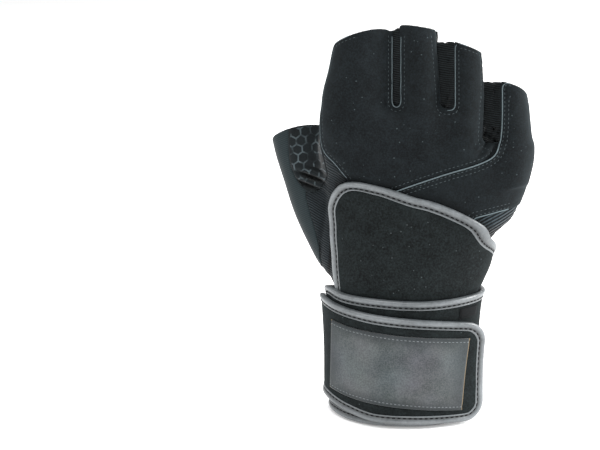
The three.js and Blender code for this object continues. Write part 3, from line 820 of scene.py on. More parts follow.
def make_cloth(name, box, lift, shift):
    """A panel of the glove: a wall between two levels of the hand's form, inside its own outline."""
    cut = window(*box)
    x, y, z = grid_points(cut)
    region = panel_region(name, cut)
    level = FIELD[cut] + (shift(x, y, z) if shift else 0)
    raised = lift(x, y, z, region) if callable(lift) else lift
    solid = smooth_max(np.maximum(level - raised, -WALL - level), region, EDGE_ROUND)
    points, faces = surface_mesh(solid, cut)
    points = relax(points, faces)
    low = low_corner(cut)
    edge = sample(region, points, low)
    depth = sample(np.broadcast_to(level - raised, region.shape), points, low)
    sunk = shift(*points.T) if shift else np.zeros(len(points))
    # Painted shade: the colour darkens where a panel sinks in creases and folds, and under the strap's raised
    # edge.
    fold = np.maximum(climb(sunk, 0.4, 1.6), strap_shade(*points.T))
    values = {"edge": edge, "depth": depth, "fold": fold}
    PANELS[name] = {"points": points, "faces": faces, "region": region, "low": low, **values}
    return make_object(name + "_cloth", points, faces, values)


# Lines are read at least this far inside a panel's edge and this near its face, and short ones are dropped.
CLEAN_INSET = 1.0
SHORTEST_LINE = 5.0
FACE_DEPTH = 0.75


def iso_lines(name, inset, keep):
    """Lines on a panel's outer face that run at an inset inside its edge, as lists of points."""
    panel = PANELS[name]
    faces, points = panel["faces"], panel["points"]
    read_at = max(inset, CLEAN_INSET)
    values = panel["edge"] + read_at
    above = values[faces] > 0
    change = above != np.roll(above, -1, axis=1)
    outer = (panel["depth"][faces] > -FACE_DEPTH).all(axis=1)
    good = np.flatnonzero((change.sum(axis=1) == 2) & outer)
    places, links = {}, {}
    for f in good:
        ends = []
        for k in np.flatnonzero(change[f]):
            a, b = int(faces[f, k]), int(faces[f, (k + 1) % 4])
            key = (min(a, b), max(a, b))
            if key not in places:
                t = values[a] / (values[a] - values[b])
                places[key] = points[a] + t * (points[b] - points[a])
            ends.append(key)
        links.setdefault(ends[0], []).append(ends[1])
        links.setdefault(ends[1], []).append(ends[0])
    wanted = {key for key, p in places.items() if keep(p)}
    lines, used = [], set()
    starts = [k for k in links if k in wanted and sum(n in wanted for n in links[k]) == 1]
    for start in starts + [k for k in links if k in wanted]:
        if start in used:
            continue
        line, here = [], start
        while here is not None:
            used.add(here)
            line.append(places[here])
            ahead = [n for n in links[here] if n in wanted and n not in used]
            here = ahead[0] if ahead else None
        line = np.array(line)
        if len(line) > 3 and np.linalg.norm(np.diff(line, axis=0), axis=1).sum() > SHORTEST_LINE:
            lines.append(move_to_edge(panel, smooth_line(line), read_at - inset))
    return lines


def move_to_edge(panel, line, distance):
    """Shifts a line on a panel towards the panel's edge."""
    if distance <= 0:
        return line

    def slope(axis):
        step = 0.8 * np.eye(3)[axis]
        ahead = sample(panel["region"], line + step, panel["low"])
        return ahead - sample(panel["region"], line - step, panel["low"])

    out = field_normal(FIELD, line)
    way = np.stack([slope(0), slope(1), slope(2)], axis=1)
    way = way - out * (way * out).sum(axis=1, keepdims=True)
    way /= np.maximum(np.linalg.norm(way, axis=1, keepdims=True), 1e-6)
    return smooth_line(line + way * distance - out * distance * 0.25, 8)


def smooth_line(line, rounds=6):
    """Evens out a line whose ends stay where they are."""
    for _ in range(rounds):
        line = np.concatenate([line[:1], (line[:-2] + 2 * line[1:-1] + line[2:]) / 4, line[-1:]])
    return line


def evenly(line, step):
    """The same line with points at even steps."""
    length = np.concatenate([[0], np.cumsum(np.linalg.norm(np.diff(line, axis=0), axis=1))])
    count = max(int(length[-1] / step), 2)
    at = np.linspace(0, length[-1], count + 1)
    return np.stack([np.interp(at, length, line[:, i]) for i in range(3)], axis=1)


def line_object(name, lines, normals):
    """One mesh of edges for several lines, with the surface's direction kept at each point."""
    points, edges, out = [], [], []
    for line, normal in zip(lines, normals):
        start = len(points)
        points.extend(line)
        out.extend(normal)
        edges.extend((start + i, start + i + 1) for i in range(len(line) - 1))
    mesh = bpy.data.meshes.new(name)
    mesh.from_pydata((np.array(points) * MM).tolist(), edges, [])
    layer = mesh.attributes.new("out", "FLOAT_VECTOR", "POINT")
    layer.data.foreach_set("vector", np.array(out, np.float32).ravel())
    return link_object(name, mesh)


def add_node(tree, kind, settings=None, inputs=None):
    """Adds a node: its settings first, then the values or links of its sockets."""
    node = tree.nodes.new(kind)
    for key, value in (settings or {}).items():
        setattr(node, key, value)
    for key, value in (inputs or {}).items():
        if isinstance(value, bpy.types.NodeSocket):
            tree.links.new(value, node.inputs[key])
        else:
            node.inputs[key].default_value = value
    return node


def line_tree(name, result, inputs, grow):
    """A tree that makes a curve of a line, grows a shape on it and gives that its material."""
    tree = bpy.data.node_groups.new(name, "GeometryNodeTree")
    keys = {}
    for title, kind, value in (("Line", "Geometry", None), *inputs, ("Material", "Material", None)):
        socket = tree.interface.new_socket(title, in_out="INPUT", socket_type="NodeSocket" + kind)
        if value is not None:
            socket.default_value = value
        keys[title.lower()] = socket.identifier
    tree.interface.new_socket(result, in_out="OUTPUT", socket_type="NodeSocketGeometry")
    source = tree.nodes.new("NodeGroupInput").outputs
    curve = add_node(tree, "GeometryNodeMeshToCurve", None, {"Mesh": source["Line"]})
    grown = grow(tree, source, curve.outputs["Curve"])
    real = add_node(tree, "GeometryNodeRealizeInstances", None, {"Geometry": grown})
    dressed = add_node(
        tree, "GeometryNodeSetMaterial", None,
        {"Geometry": real.outputs["Geometry"], "Material": source["Material"]},
    )
    add_node(tree, "NodeGroupOutput", None, {result: dressed.outputs["Geometry"]})
    return tree, keys


def grow_stitches(tree, source, curve):
    """Stitches of one pitch along a curve, each a small copy of the thread's part."""
    spaced = add_node(
        tree, "GeometryNodeResampleCurve", {"mode": "LENGTH"}, {"Curve": curve, "Length": source["Pitch"]}
    )
    out = add_node(
        tree, "GeometryNodeInputNamedAttribute", {"data_type": "FLOAT_VECTOR"}, {"Name": "out"}
    )
    tangent = add_node(tree, "GeometryNodeInputTangent")
    turned = add_node(
        tree, "FunctionNodeAxesToRotation", {"primary_axis": "X", "secondary_axis": "Z"},
        {"Primary Axis": tangent.outputs["Tangent"], "Secondary Axis": out.outputs["Attribute"]},
    )
    thread = add_node(tree, "GeometryNodeObjectInfo", None, {"Object": source["Thread"]})
    placed = add_node(tree, "GeometryNodeInstanceOnPoints", None, {
        "Points": spaced.outputs["Curve"],
        "Instance": thread.outputs["Geometry"],
        "Rotation": turned.outputs["Rotation"],
    })
    return placed.outputs["Instances"]


def grow_bead(tree, source, curve):
    """A round bead that follows a curve, for a cut edge."""
    ring = add_node(
        tree, "GeometryNodeCurvePrimitiveCircle", None,
        {"Resolution": source["Sides"], "Radius": source["Radius"]},
    )
    swept = add_node(
        tree, "GeometryNodeCurveToMesh", None,
        {"Curve": curve, "Profile Curve": ring.outputs["Curve"], "Fill Caps": True},
    )
    return swept.outputs["Mesh"]


def grow_on_lines(name, lines, normals, tree_and_keys, material, slot, **inputs):
    """Runs a node tree on lines and keeps the plain mesh that comes out."""
    tree, keys = tree_and_keys
    source = line_object(name + "_line", lines, normals)
    modifier = source.modifiers.new("grow", "NODES")
    modifier.node_group = tree
    for key, value in dict(inputs, material=material).items():
        modifier[keys[key]] = value
    graph = bpy.context.evaluated_depsgraph_get()
    mesh = bpy.data.meshes.new_from_object(source.evaluated_get(graph))
    mesh.name = name
    piece = link_object(name, mesh)
    bpy.data.objects.remove(source)
    shade_smooth(mesh)
    return finish_piece(piece, material, slot)


def thread_part(length, width, height):
    """One stitch: a small flattened bean along X."""
    rows, sides = 5, 6
    points, faces = [], []
    for r in range(rows):
        t = -1 + 2 * (r + 0.5) / rows
        fat = math.sqrt(1 - t * t * 0.9)
        for s in range(sides):
            a = 2 * math.pi * s / sides
            points.append((t * length / 2, fat * width / 2 * math.cos(a), fat * height / 2 * math.sin(a)))
    for r in range(rows - 1):
        for s in range(sides):
            n = (s + 1) % sides
            faces.append((r * sides + s, (r + 1) * sides + s, (r + 1) * sides + n, r * sides + n))
    faces.append(tuple(range(sides)))
    faces.append(tuple(reversed(range((rows - 1) * sides, rows * sides))))
    mesh = bpy.data.meshes.new("thread_part")
    mesh.from_pydata((np.array(points) * MM).tolist(), [], faces)
    shade_smooth(mesh)
    return link_object("thread_part", mesh)


class Signal:
    """A shader socket that can stand in a Python expression."""

    def __init__(self, tree, socket):
        self.tree, self.socket = tree, socket

    @classmethod
    def make(cls, tree, kind, settings=None, inputs=None, output=0):
        """Adds any node. An input may be another signal, whose socket is linked, or a value."""
        plain = {key: getattr(value, "socket", value) for key, value in (inputs or {}).items()}
        node = add_node(tree, kind, settings, plain)
        return cls(tree, node.outputs[output] if len(node.outputs) else None)

    def node(self, kind, settings=None, inputs=None, output=0):
        return Signal.make(self.tree, kind, settings, inputs, output)

    def math(self, operation, *values):
        return self.node("ShaderNodeMath", {"operation": operation}, dict(enumerate(values)))

    def __add__(self, other):
        return self.math("ADD", self, other)

    def __radd__(self, other):
        return self.math("ADD", other, self)

    def __sub__(self, other):
        return self.math("SUBTRACT", self, other)

    def __rsub__(self, other):
        return self.math("SUBTRACT", other, self)

    def __mul__(self, other):
        return self.math("MULTIPLY", self, other)

    def __rmul__(self, other):
        return self.math("MULTIPLY", other, self)

    def __truediv__(self, other):
        return self.math("DIVIDE", self, other)

    def __mod__(self, other):
        return self.math("FLOORED_MODULO", self, other)

    def __abs__(self):
        return self.math("ABSOLUTE", self)

    def sin(self):
        return self.math("SINE", self)

    def largest(self, other):
        return self.math("MAXIMUM", self, other)

    def smallest(self, other):
        return self.math("MINIMUM", self, other)

    def ramp(self, low, high, from_value=0.0, to_value=1.0):
        """Goes smoothly between two values as this one goes from low to high."""
        inputs = {"Value": self, "From Min": low, "From Max": high, "To Min": from_value, "To Max": to_value}
        return self.node("ShaderNodeMapRange", {"interpolation_type": "SMOOTHSTEP"}, inputs)


def rgb(text, scale=1.0):
    """A colour in linear light from its six hexadecimal digits."""
    values = [int(text[i:i + 2], 16) / 255 for i in (0, 2, 4)]
    linear = [v / 12.92 if v <= 0.04045 else ((v + 0.055) / 1.055) ** 2.4 for v in values]
    return tuple(scale * v for v in linear) + (1.0,)


def mix(share, first, second, settings=None):
    """Between two colours, by a signal or a number."""
    tree = next(part.tree for part in (share, first, second) if isinstance(part, Signal))
    settings = {"data_type": "RGBA", **(settings or {})}
    return Signal.make(tree, "ShaderNodeMix", settings, {0: share, 6: first, 7: second}, 2)


def start_material(name):
    """A new material with its node tree, its place as a vector, and its x, y and z in millimetres."""
    material = bpy.data.materials.new(name)
    material.use_nodes = True
    tree = material.node_tree
    tree.nodes.clear()
    spot = Signal.make(tree, "ShaderNodeTexCoord", output="Object")
    apart = spot.node("ShaderNodeSeparateXYZ", None, {"Vector": spot})
    axes = [Signal(tree, apart.socket.node.outputs[i]) * 1000.0 for i in range(3)]
    return material, tree, spot, axes


def noise(spot, size_mm, detail=2.0, roughness=0.5, output=0):
    settings = {"noise_dimensions": "3D"}
    inputs = {"Vector": spot, "Scale": 1000.0 / size_mm, "Detail": detail, "Roughness": roughness}
    return spot.node("ShaderNodeTexNoise", settings, inputs, output)


def dots(spot, size_mm, output="Distance"):
    inputs = {"Vector": spot, "Scale": 1000.0 / size_mm}
    return spot.node("ShaderNodeTexVoronoi", None, inputs, output)


def attribute(tree, name):
    return Signal.make(tree, "ShaderNodeAttribute", {"attribute_name": name}, None, 2)


def end_material(material, tree, colour, roughness, height=None, bump=0.5, height_mm=0.1, **constants):
    """Closes a material with its shader, with painted shade in deep folds and under the strap's edge, and a bump
    from a height between 0 and 1.
    """
    colour = mix(attribute(tree, "fold") * 0.85, colour, rgb("030303"))
    inputs = {"Base Color": colour, "Roughness": roughness, "Specular IOR Level": 0.12}
    inputs.update({key.replace("_", " "): value for key, value in constants.items()})
    if height is not None:
        inputs["Normal"] = height.node(
            "ShaderNodeBump", None, {"Strength": bump, "Distance": height_mm * MM, "Height": height}
        )
    shader = Signal.make(tree, "ShaderNodeBsdfPrincipled", None, inputs)
    Signal.make(tree, "ShaderNodeOutputMaterial", None, {"Surface": shader})
    return material


def lint(spot, every_mm, share):
    """Sparse specks of lint, one in some of the cells."""
    cell = {"Vector": dots(spot, every_mm, "Position")}
    pick = spot.node("ShaderNodeTexWhiteNoise", None, cell)
    return dots(spot, every_mm).ramp(0.15, 0.06) * pick.ramp(share, share - 0.01)


def napped_cloth(name, dark, light, speck, lint_share, nap, sheen, grain=0.8):
    """Suede-faced neoprene or loop cloth: a soft nap in patches, fine fibres and a little lint."""
    material, tree, spot, _ = start_material(name)
    patches = noise(spot, 22, 3.0)
    fibres = noise(spot, grain, 4.0, 0.75)
    brushed = noise(spot, 4.5, 2.0)
    share = patches.ramp(0.35, 0.68) * 0.15 + fibres.ramp(0.35, 0.7) * nap + brushed.ramp(0.35, 0.7) * 0.15
    colour = mix(share, rgb(dark), rgb(light))
    specks = lint(spot, 2.4, lint_share)
    colour = mix(specks * 0.6, colour, rgb(speck))
    height = fibres * 0.6 + brushed * 0.4
    return end_material(
        material, tree, colour, fibres.ramp(0.3, 0.7, 0.82, 0.98), height, 0.45, 0.12,
        Sheen_Weight=sheen, Sheen_Roughness=0.45, Sheen_Tint=rgb("9fb0b8"),
    )


def ribbed_cloth(name, dark, light, direction, pitch, depth, bend=0.6):
    """Stretch cloth with narrow ribs across one direction, their crests lighter as a painted highlight."""
    material, tree, spot, axes = start_material(name)
    norm = math.sqrt(sum(d * d for d in direction))
    across = sum((axis * (d / norm) for axis, d in zip(axes, direction)), noise(spot, 9, 2.0) * bend)
    wave = (across * (math.tau / pitch)).sin() * 0.5 + 0.5
    knit = noise(spot, 0.45, 2.0)
    patches = noise(spot, 12, 2.0)
    # Painted highlight: the ribs' crests are lighter, more so in some patches.
    share = wave.ramp(0.35, 1.0) * (patches.ramp(0.3, 0.7) * 0.5 + 0.5)
    colour = mix(share, rgb(dark), rgb(light))
    height = wave * 0.85 + knit * 0.15
    return end_material(
        material, tree, colour, wave.ramp(0, 1, 0.9, 0.72), height, 0.7, depth,
        Sheen_Weight=0.15, Sheen_Roughness=0.4,
    )


def honeycomb(u, v, pitch, line):
    """How much of a honeycomb's printed line covers a point, with u and v in millimetres."""
    tall = math.sqrt(3)
    u, v = u / pitch + 200.0, v / pitch + 200.0

    def cell(shift):
        a = (u + shift) % 1.0 - 0.5
        b = (v + shift * tall) % tall - tall / 2
        return abs(a), abs(b), a * a + b * b

    a0, b0, r0 = cell(0.0)
    a1, b1, r1 = cell(0.5)
    first = a0.largest(a0 * 0.5 + b0 * (tall / 2))
    second = a1.largest(a1 * 0.5 + b1 * (tall / 2))
    pick = r0.math("LESS_THAN", r0, r1)
    away = first * pick + second * (1 - pick)
    half = 0.5 - line / pitch / 2
    return away.ramp(half - 0.03, half + 0.012)


def grip_print(name, dark, light, ink_and_highlight, pitch, line, tilt, mask, fine_patch_share, around=0.0):
    """Suede or cloth with a printed honeycomb, worn in patches, whose ink also carries a painted highlight in
    patches. The mask says where the print is.

    Around says how far the print follows the glove round its flanks.
    """
    material, tree, spot, (x, y, z) = start_material(name)
    turn = math.radians(tilt)
    wobble = noise(spot, 14, 1.0) * 1.1 + noise(spot, 3.5, 1.0) * 0.9
    right_flank = (x - 36.0 - (z - 70.0) * 0.42).ramp(-13.0, -1.0)
    left_flank = x.ramp(-28.0, -38.0)
    round_side = (14.0 - y) * (right_flank - left_flank)
    u = x * math.cos(turn) + z * math.sin(turn) + wobble + round_side * around
    v = z * math.cos(turn) - x * math.sin(turn) + wobble
    fibres = noise(spot, 0.6, 3.0, 0.7)
    patches = noise(spot, 16, 3.0)
    share = patches.ramp(0.32, 0.7) * 0.6 + fibres.ramp(0.3, 0.75) * 0.4
    colour = mix(share, rgb(dark), rgb(light))
    # Where the ink shows is partly real wear and chipping and partly a painted highlight where the glossy print
    # catches the light; painted shade in folds hides it.
    chips = noise(spot, 2.2, 2.0, 0.5).ramp(0.4, 0.56) * 0.8 + 0.2
    wear_and_painted_light = noise(spot, 12, 3.0, 0.6).ramp(0.49, 0.64) * chips
    wear_and_painted_light = wear_and_painted_light * (1.0 - fine_patch_share) + noise(spot, 5, 2.0).ramp(0.35, 0.6) * fine_patch_share
    wear_and_painted_light = wear_and_painted_light * (1.0 - attribute(tree, "fold")).ramp(0.75, 0.95)
    printed = honeycomb(u, v, pitch, line) * mask(x, y, z, tree)
    colour = mix(printed * wear_and_painted_light, colour, rgb(ink_and_highlight))
    height = fibres * 0.25 + printed * 0.75
    return end_material(
        material, tree, colour, (printed * wear_and_painted_light).ramp(0, 1, 0.92, 0.42), height, 0.6, 0.25,
        Sheen_Weight=0.15, Sheen_Roughness=0.5,
    )


# Where the prints lie on the palm.
def palm_print(x, y, z, tree):
    upper = (z + x * 0.105).ramp(113.5, 114.5)
    heel_side = (x + 1.0 - (z - 62.0) * 0.07).ramp(-9.5, -8.5)
    heel = heel_side * z.ramp(106.0, 104.5) * z.ramp(56.0, 60.0)
    hems = attribute(tree, "mouth").ramp(-6.2, -6.8)
    return upper.largest(heel) * y.ramp(2.0, 3.0) * hems * attribute(tree, "depth").ramp(-1.0, -0.7)


def everywhere(x, y, z, tree):
    return attribute(tree, "edge").ramp(-0.6, -1.2) * attribute(tree, "depth").ramp(-1.0, -0.7)


# Napped cloths: dark, light and speck colours, then the lint's share, the nap's strength and the sheen.
BACK_CLOTH = napped_cloth("suede_faced_neoprene", "07090a", "1f2528", "566265", 0.3, 0.6, 0.12)
STRAP_CLOTH = napped_cloth("strap_neoprene", "060808", "23292a", "596163", 0.2, 0.7, 0.05, grain=0.95)
HEM_KNIT = napped_cloth("hem_knit", "0e0f10", "1f2122", "5a5f61", 0.05, 0.5, 0.05)
PLAIN_SUEDE = napped_cloth("plain_palm_suede", "0f0e0e", "232221", "5a5c5b", 0.06, 0.5, 0.05)

# Printed cloths: dark and light colours, the ink's colour with its painted highlight, then the honeycomb's pitch,
# line, tilt and mask, and how much of its wear and painted highlight comes in fine patches.
PALM_SUEDE = grip_print("palm_suede", "0b0b0b", "1c1b1b", "a3a6a5", 4.7, 0.5, 8, palm_print, 0.12, 1.0)
THUMB_GRIP = grip_print("thumb_grip_cloth", "0d1012", "1a2022", "454f53", 4.6, 0.6, 6, everywhere, 0.8)

# Ribbed cloths: dark colour and the light colour of the ribs' painted highlight, then the ribs' direction, pitch,
# depth and bend.
SMOOTH_CLOTH = ribbed_cloth("smooth_thumb_cloth", "1f2729", "293134", (0.35, 0.1, 1.0), 0.9, 0.06)
FOURCHETTE_CLOTH = ribbed_cloth("fourchette_stretch", "0b0d0e", "1f2527", (0.25, 0.35, 1.0), 1.0, 0.25)
GUSSET_CLOTH = ribbed_cloth("gusset_stretch", "0f1315", "3c474d", (-0.48, 0.0, 1.0), 1.6, 0.3, 0.5)
THUMB_RIB_CLOTH = ribbed_cloth("thumb_stretch", "101416", "283034", (0.62, 0.2, 1.0), 1.05, 0.3, 1.6)


def thread_material(name, colour, shine=0.5):
    material, tree, spot, _ = start_material(name)
    twist = noise(spot, 0.3, 2.0)
    shaded = mix(twist.ramp(0.3, 0.7), rgb(colour, 0.7), rgb(colour))
    return end_material(material, tree, shaded, twist.ramp(0, 1, shine, 0.8), twist, 0.3, 0.05)


LIGHT_THREAD = thread_material("grey_thread", "424a4d")
DARK_THREAD = thread_material("black_thread", "0e0f10")
CUT_EDGE = thread_material("cut_edge", "667276", 0.85)
PALM_CUT_EDGE = thread_material("palm_cut_edge", "4b4c4a", 0.85)
PATCH_THREAD = thread_material("patch_thread", "7b8184")


def clear_of_strap(x, z):
    """Falls from 1 to 0 where the strap lies over the panels."""
    return climb(z, strap_top(x), 5)


def back_lift(x, y, z, region):
    full = 0.72 + swell(region, 0.5, 3.5) + groove(region, 2.0, 0.2, 0.6)
    return full * (0.25 + 0.75 * clear_of_strap(x, z))


def side_lift(x, y, z, region):
    full = 1.25 + swell(region, 0.3, 4.0) + groove(region, 1.1, 0.16, 0.5) + groove(region, 3.1, 0.2, 0.5)
    return full * (0.15 + 0.85 * clear_of_strap(x, z))


def palm_lift(x, y, z, region):
    return 0.1 + swell(region, 0.5, 4.0) * climb(z, 60, 10)


def back_shift(x, y, z):
    return -0.35 * slow_waves(x, y, z) * climb(z, 85, 20) + front_gathers(x, y, z)


def palm_shift(x, y, z):
    folds = palm_folds(x, y, z) * climb(z, 96, 6)
    small = 0.3 * np.sin(x * 0.9 + 2 * np.sin(z * 0.21)) * bell((z - 122) / 22) * climb(y, 0, 8)
    return folds + gap_lines(x, y, z) + small - 0.4 * slow_waves(x, y, z) * climb(z, 55, 15)


def base_shift(x, y, z):
    return thumb_folds(x, y, z) - 0.5 * slow_waves(x * 1.3, y, z)


# Long folds on the thumb's front: x at a height of 100 mm, lean, width, depth, and the height where they end.
LONG_FOLD_ROWS = [(-36.5, 0.16, 1.6, 0.8, 112), (-31, 0.1, 1.5, 0.6, 116)]


def thumb_front_shift(x, y, z):
    """The knot of folds where the thumb bends, below the printed patch, and long folds under it."""
    knot = bell((x + 43.5) / 6.5, (z - 116) / 5.5)
    folds = 1.9 * np.sin(1.35 * (z - 116) + 0.5 * (x + 43)) * knot + 1.1 * knot
    for x0, lean, width, depth, end in LONG_FOLD_ROWS:
        folds = folds + depth * bell((x - x0 - (z - 100) * lean) / width) * climb(end - z, 0, 8)
    return folds * climb(9 - y, 0, 6)


def gap_shift(x, y, z):
    """The stretch cloth ruffles towards its top and is bunched at the foot of each gap."""
    foot = bell((z - 152) / 5) * (x < 32) + bell((z - 138) / 8) * (x > 32)
    bunched = 0.7 * np.sin(1.3 * z + 0.9 * x) + 0.4 * np.sin(2.1 * x - 0.8 * z)
    return 0.3 * np.sin(z * 0.9 + y * 0.6) * climb(z, 148, 25) + bunched * foot


def gusset_shift(x, y, z):
    along = -0.48 * x + z + 0.4 * np.sin(x * 0.35)
    return 0.28 * np.sin(math.tau * along / 1.6)


# The panels: name, the box that they lie in, how far they stand out, their folds, their material and slot.
GAP_CLOTH = (-0.15, gap_shift, FOURCHETTE_CLOTH, "stretch_cloth")
THUMB_RIB = (0.0, thumb_front_shift, THUMB_RIB_CLOTH, "stretch_cloth")
HEM_CLOTH = (0.3, None, HEM_KNIT, "hem_knit")
CLOTH_PIECES = (
    ("back_panel", ((-42, -24, 100), (48, 8, 194)), back_lift, back_shift, BACK_CLOTH, "back_cloth"),
    ("side_panel", ((-40, -24, -3), (64, 12, 170)), side_lift, back_shift, BACK_CLOTH, "back_cloth"),
    ("palm_panel", ((-44, -2, -3), (64, 26, 186)), palm_lift, palm_shift, PALM_SUEDE, "palm_suede"),
    ("thumb_base_panel", ((-65, -24, 50), (-5, 27, 142)), 0.3, base_shift, PLAIN_SUEDE, "palm_suede"),
    ("index_side_strip", ((-43, -12, 122), (-20, 18, 188)), 0.0, None, FOURCHETTE_CLOTH, "stretch_cloth"),
    ("fourchette_index_middle", ((-14, -20, 140), (8, 20, 192)), *GAP_CLOTH),
    ("fourchette_middle_ring", ((8, -20, 140), (32, 20, 192)), *GAP_CLOTH),
    ("fourchette_ring_little", ((27, -22, 125), (56, 18, 184)), *GAP_CLOTH),
    ("side_gusset", ((24, -24, 62), (62, 8, 112)), 0.25, gusset_shift, GUSSET_CLOTH, "stretch_cloth"),
    ("thumb_gusset", ((-54, -22, 50), (-16, 18, 136)), *THUMB_RIB),
    ("thumb_grip_patch", ((-60, -15, 102), (-28, 19, 148)), 0.2, thumb_front_shift, THUMB_GRIP, "thumb_grip"),
    ("thumb_outer_strip", ((-65, -10, 66), (-33, 18, 146)), 0.25, None, SMOOTH_CLOTH, "smooth_cloth"),
    ("hem_thumb", ((-65, 5, 118), (-32, 27, 146)), 0.25, None, HEM_KNIT, "hem_knit"),
    ("hem_index", ((-36, 5, 162), (0, 25, 188)), *HEM_CLOTH),
    ("hem_middle", ((-6, 5, 164), (22, 26, 188)), *HEM_CLOTH),
    ("hem_ring", ((13, 4, 156), (42, 25, 182)), *HEM_CLOTH),
    ("hem_little", ((35, 0, 140), (63, 23, 166)), *HEM_CLOTH),
)

for name, box, lift, shift, material, slot in CLOTH_PIECES:
    piece = make_cloth(name, box, lift, shift)
    if name == "palm_panel":
        add_values(piece.data, "mouth", nearest_mouth(*PANELS[name]["points"].T)[0])
    finish_piece(piece, material, slot, name)


STITCH_INPUTS = (("Pitch", "Float", 2.5 * MM), ("Thread", "Object", None))
STITCHES = line_tree("stitches_on_a_line", "Stitches", STITCH_INPUTS, grow_stitches)
BEAD = line_tree("bead_on_a_line", "Bead", (("Radius", "Float", 0.3 * MM), ("Sides", "Int", 6)), grow_bead)


# Which points of a panel's lines show: on the back above the strap, beside its edges, and on the palm.
def on_back(p):
    return p[1] < 2 and clear_of_strap(p[0], p[2]) > 0.2 and p[2] < 184


def back_edge(p):
    """Where the back's cut face shows: beside the index finger, round the first slit, by the ring finger."""
    beside_index = p[0] < -25 and p[2] > 100
    beside_slits = p[2] > 135 and (p[0] < 4 or 20.5 < p[0] < 30)
    return on_back(p) and (beside_index or beside_slits)


def slit_edge(p):
    return on_back(p) and p[2] > 100


def side_seam(p):
    return p[1] < 1 and clear_of_strap(p[0], p[2]) > 0.2 and p[2] < 164 and -20 < p[0] < 50


def palm_seam(p):
    return p[1] > 6 and -36 < p[0] and 66 < p[2] < 116


def gather_lines(rows):
    """Lines with their surface directions, from rows of a panel, an inset in millimetres and what to keep."""
    lines = [evenly(line, 0.8) for name, inset, keep in rows for line in iso_lines(name, inset, keep)]
    return lines, [field_normal(FIELD, line) for line in lines]


# Cut edges that show as a light line: name, panel, inset, what to keep, thread, slot and radius.
EDGE_ROWS = (
    ("back_cut_edges", "back_panel", 0.4, back_edge, CUT_EDGE, "back_cloth", 0.24),
    ("seam_cut_edges", "side_panel", 0.35, side_seam, CUT_EDGE, "back_cloth", 0.32),
    ("palm_cut_edge", "thumb_base_panel", 0.35, palm_seam, PALM_CUT_EDGE, "palm_suede", 0.22),
)
SEAM_ROWS = (("back_panel", 2.1, slit_edge), ("side_panel", 1.4, side_seam), ("side_panel", 3.2, side_seam))
for name, panel, inset, keep, thread, slot, radius in EDGE_ROWS:
    grow_on_lines(name, *gather_lines([(panel, inset, keep)]), BEAD, thread, slot, radius=radius * MM)
grow_on_lines(
    "panel_stitches", *gather_lines(SEAM_ROWS), STITCHES, LIGHT_THREAD, "back_cloth",
    pitch=SEAM_STITCH_PITCH * MM, thread=thread_part(*SEAM_THREAD),
)


# The strap. Its course is given by turn, height and the distance out from its inner face.
def strap_table():
    rows = np.array(STRAP_ROWS, float) * (1, CUFF_HEIGHT, CUFF_HEIGHT)
    at = np.linspace(0, len(rows) - 1, 30 * (len(rows) - 1) + 1)
    return [pchip(rows[:, i], at) for i in range(3)]


TURNS, TOPS, BOTTOMS = strap_table()
FIRST_TURN = TURNS[0]


def strap_point(turn, z, out):
    """A point of the wound strap: its turn in degrees, its height, and how far it is from the inner face."""
    turn, z, out = np.broadcast_arrays(np.asarray(turn, float), z, out)
    angle = np.radians(turn)
    power = 2 / HAND.read("squareness", z)
    grow = STRAP_CLEARANCE + STRAP_PITCH * (turn - FIRST_TURN) / 360 + out
    across = (HAND.read("half_width", z) + grow) * np.sign(np.sin(angle)) * np.abs(np.sin(angle)) ** power
    deep = (HAND.read("half_depth", z) + grow) * np.sign(np.cos(angle)) * np.abs(np.cos(angle)) ** power
    return np.stack([HAND.read("x", z) + across, HAND.read("y", z) - deep, z], axis=-1)


def strap_lengths():
    """How far along the cut strap each turn of the table lies."""
    middle = strap_point(TURNS, (TOPS + BOTTOMS) / 2, STRAP_THICKNESS / 2)
    steps = np.hypot(*(np.diff(middle[:, :2], axis=0).T))
    return np.concatenate([[0], np.cumsum(steps)])


ALONG = strap_lengths()
WHOLE = ALONG[-1]


def turn_at(along):
    return np.interp(along, ALONG, TURNS)


def top_at(along):
    return np.interp(along, ALONG, TOPS)


def bottom_at(along):
    return np.interp(along, ALONG, BOTTOMS)


def on_strap(along, z, out):
    """A point of the strap by its place on the cut cloth, kept clear of the glove under it."""
    turn = turn_at(along)
    wave = 0.16 * np.sin(along / 11 + z / 17) + 0.1 * np.sin(along / 5.3 - z / 9 + 1)
    base = strap_point(turn, z, 0)
    clear = sample(FIELD, base.reshape(-1, 3)).reshape(base.shape[:-1])
    push = np.clip(1.15 - clear, 0, 1.6) * (turn < 110)
    free_end = 4.0 * climb(turn, 740, 45) ** 2
    bulge = 1.3 * bell((turn - 85) / 25) * climb(z, 58, 8)
    return strap_point(turn, z, out + wave + push + (free_end + bulge))


def corner_drop(away, radius):
    """How far a rounded corner falls below its edge."""
    away = np.clip(away, 0, radius)
    return radius - np.sqrt(np.maximum(radius**2 - (radius - away) ** 2, 0))


def strap_outline(inset, step=1.6):
    """The strap's cut outline, an inset inside its edge: places along it with top and bottom heights."""
    radius_start = max(CORNER_START - inset, 1.5)
    radius_low = max(CORNER_START_LOW - inset, 1.0)
    radius_end = max(CORNER_END - inset, 1.5)
    inner = np.arange(inset + radius_start, WHOLE - inset - radius_end, step)
    bend = np.radians(np.linspace(0, 90, 14)[:-1])
    first = inset + radius_start * (1 - np.cos(bend))
    last = WHOLE - inset - radius_end * (1 - np.cos(bend))
    along = np.concatenate([first, inner, last[::-1]])
    start, end = along - inset, WHOLE - inset - along
    top = top_at(along) - inset - corner_drop(start, radius_start) - corner_drop(end, radius_end)
    bottom = bottom_at(along) + inset + corner_drop(start, radius_low) + corner_drop(end, radius_end)
    return along, top, bottom


def grid_faces(rows, columns, loop_rows=False):
    """Faces of a grid that closes along its columns, and along its rows as well where that is asked."""
    faces = []
    for r in range(rows if loop_rows else rows - 1):
        for c in range(columns):
            r2, c2 = (r + 1) % rows, (c + 1) % columns
            faces.append((r * columns + c, r * columns + c2, r2 * columns + c2, r2 * columns + c))
    return faces


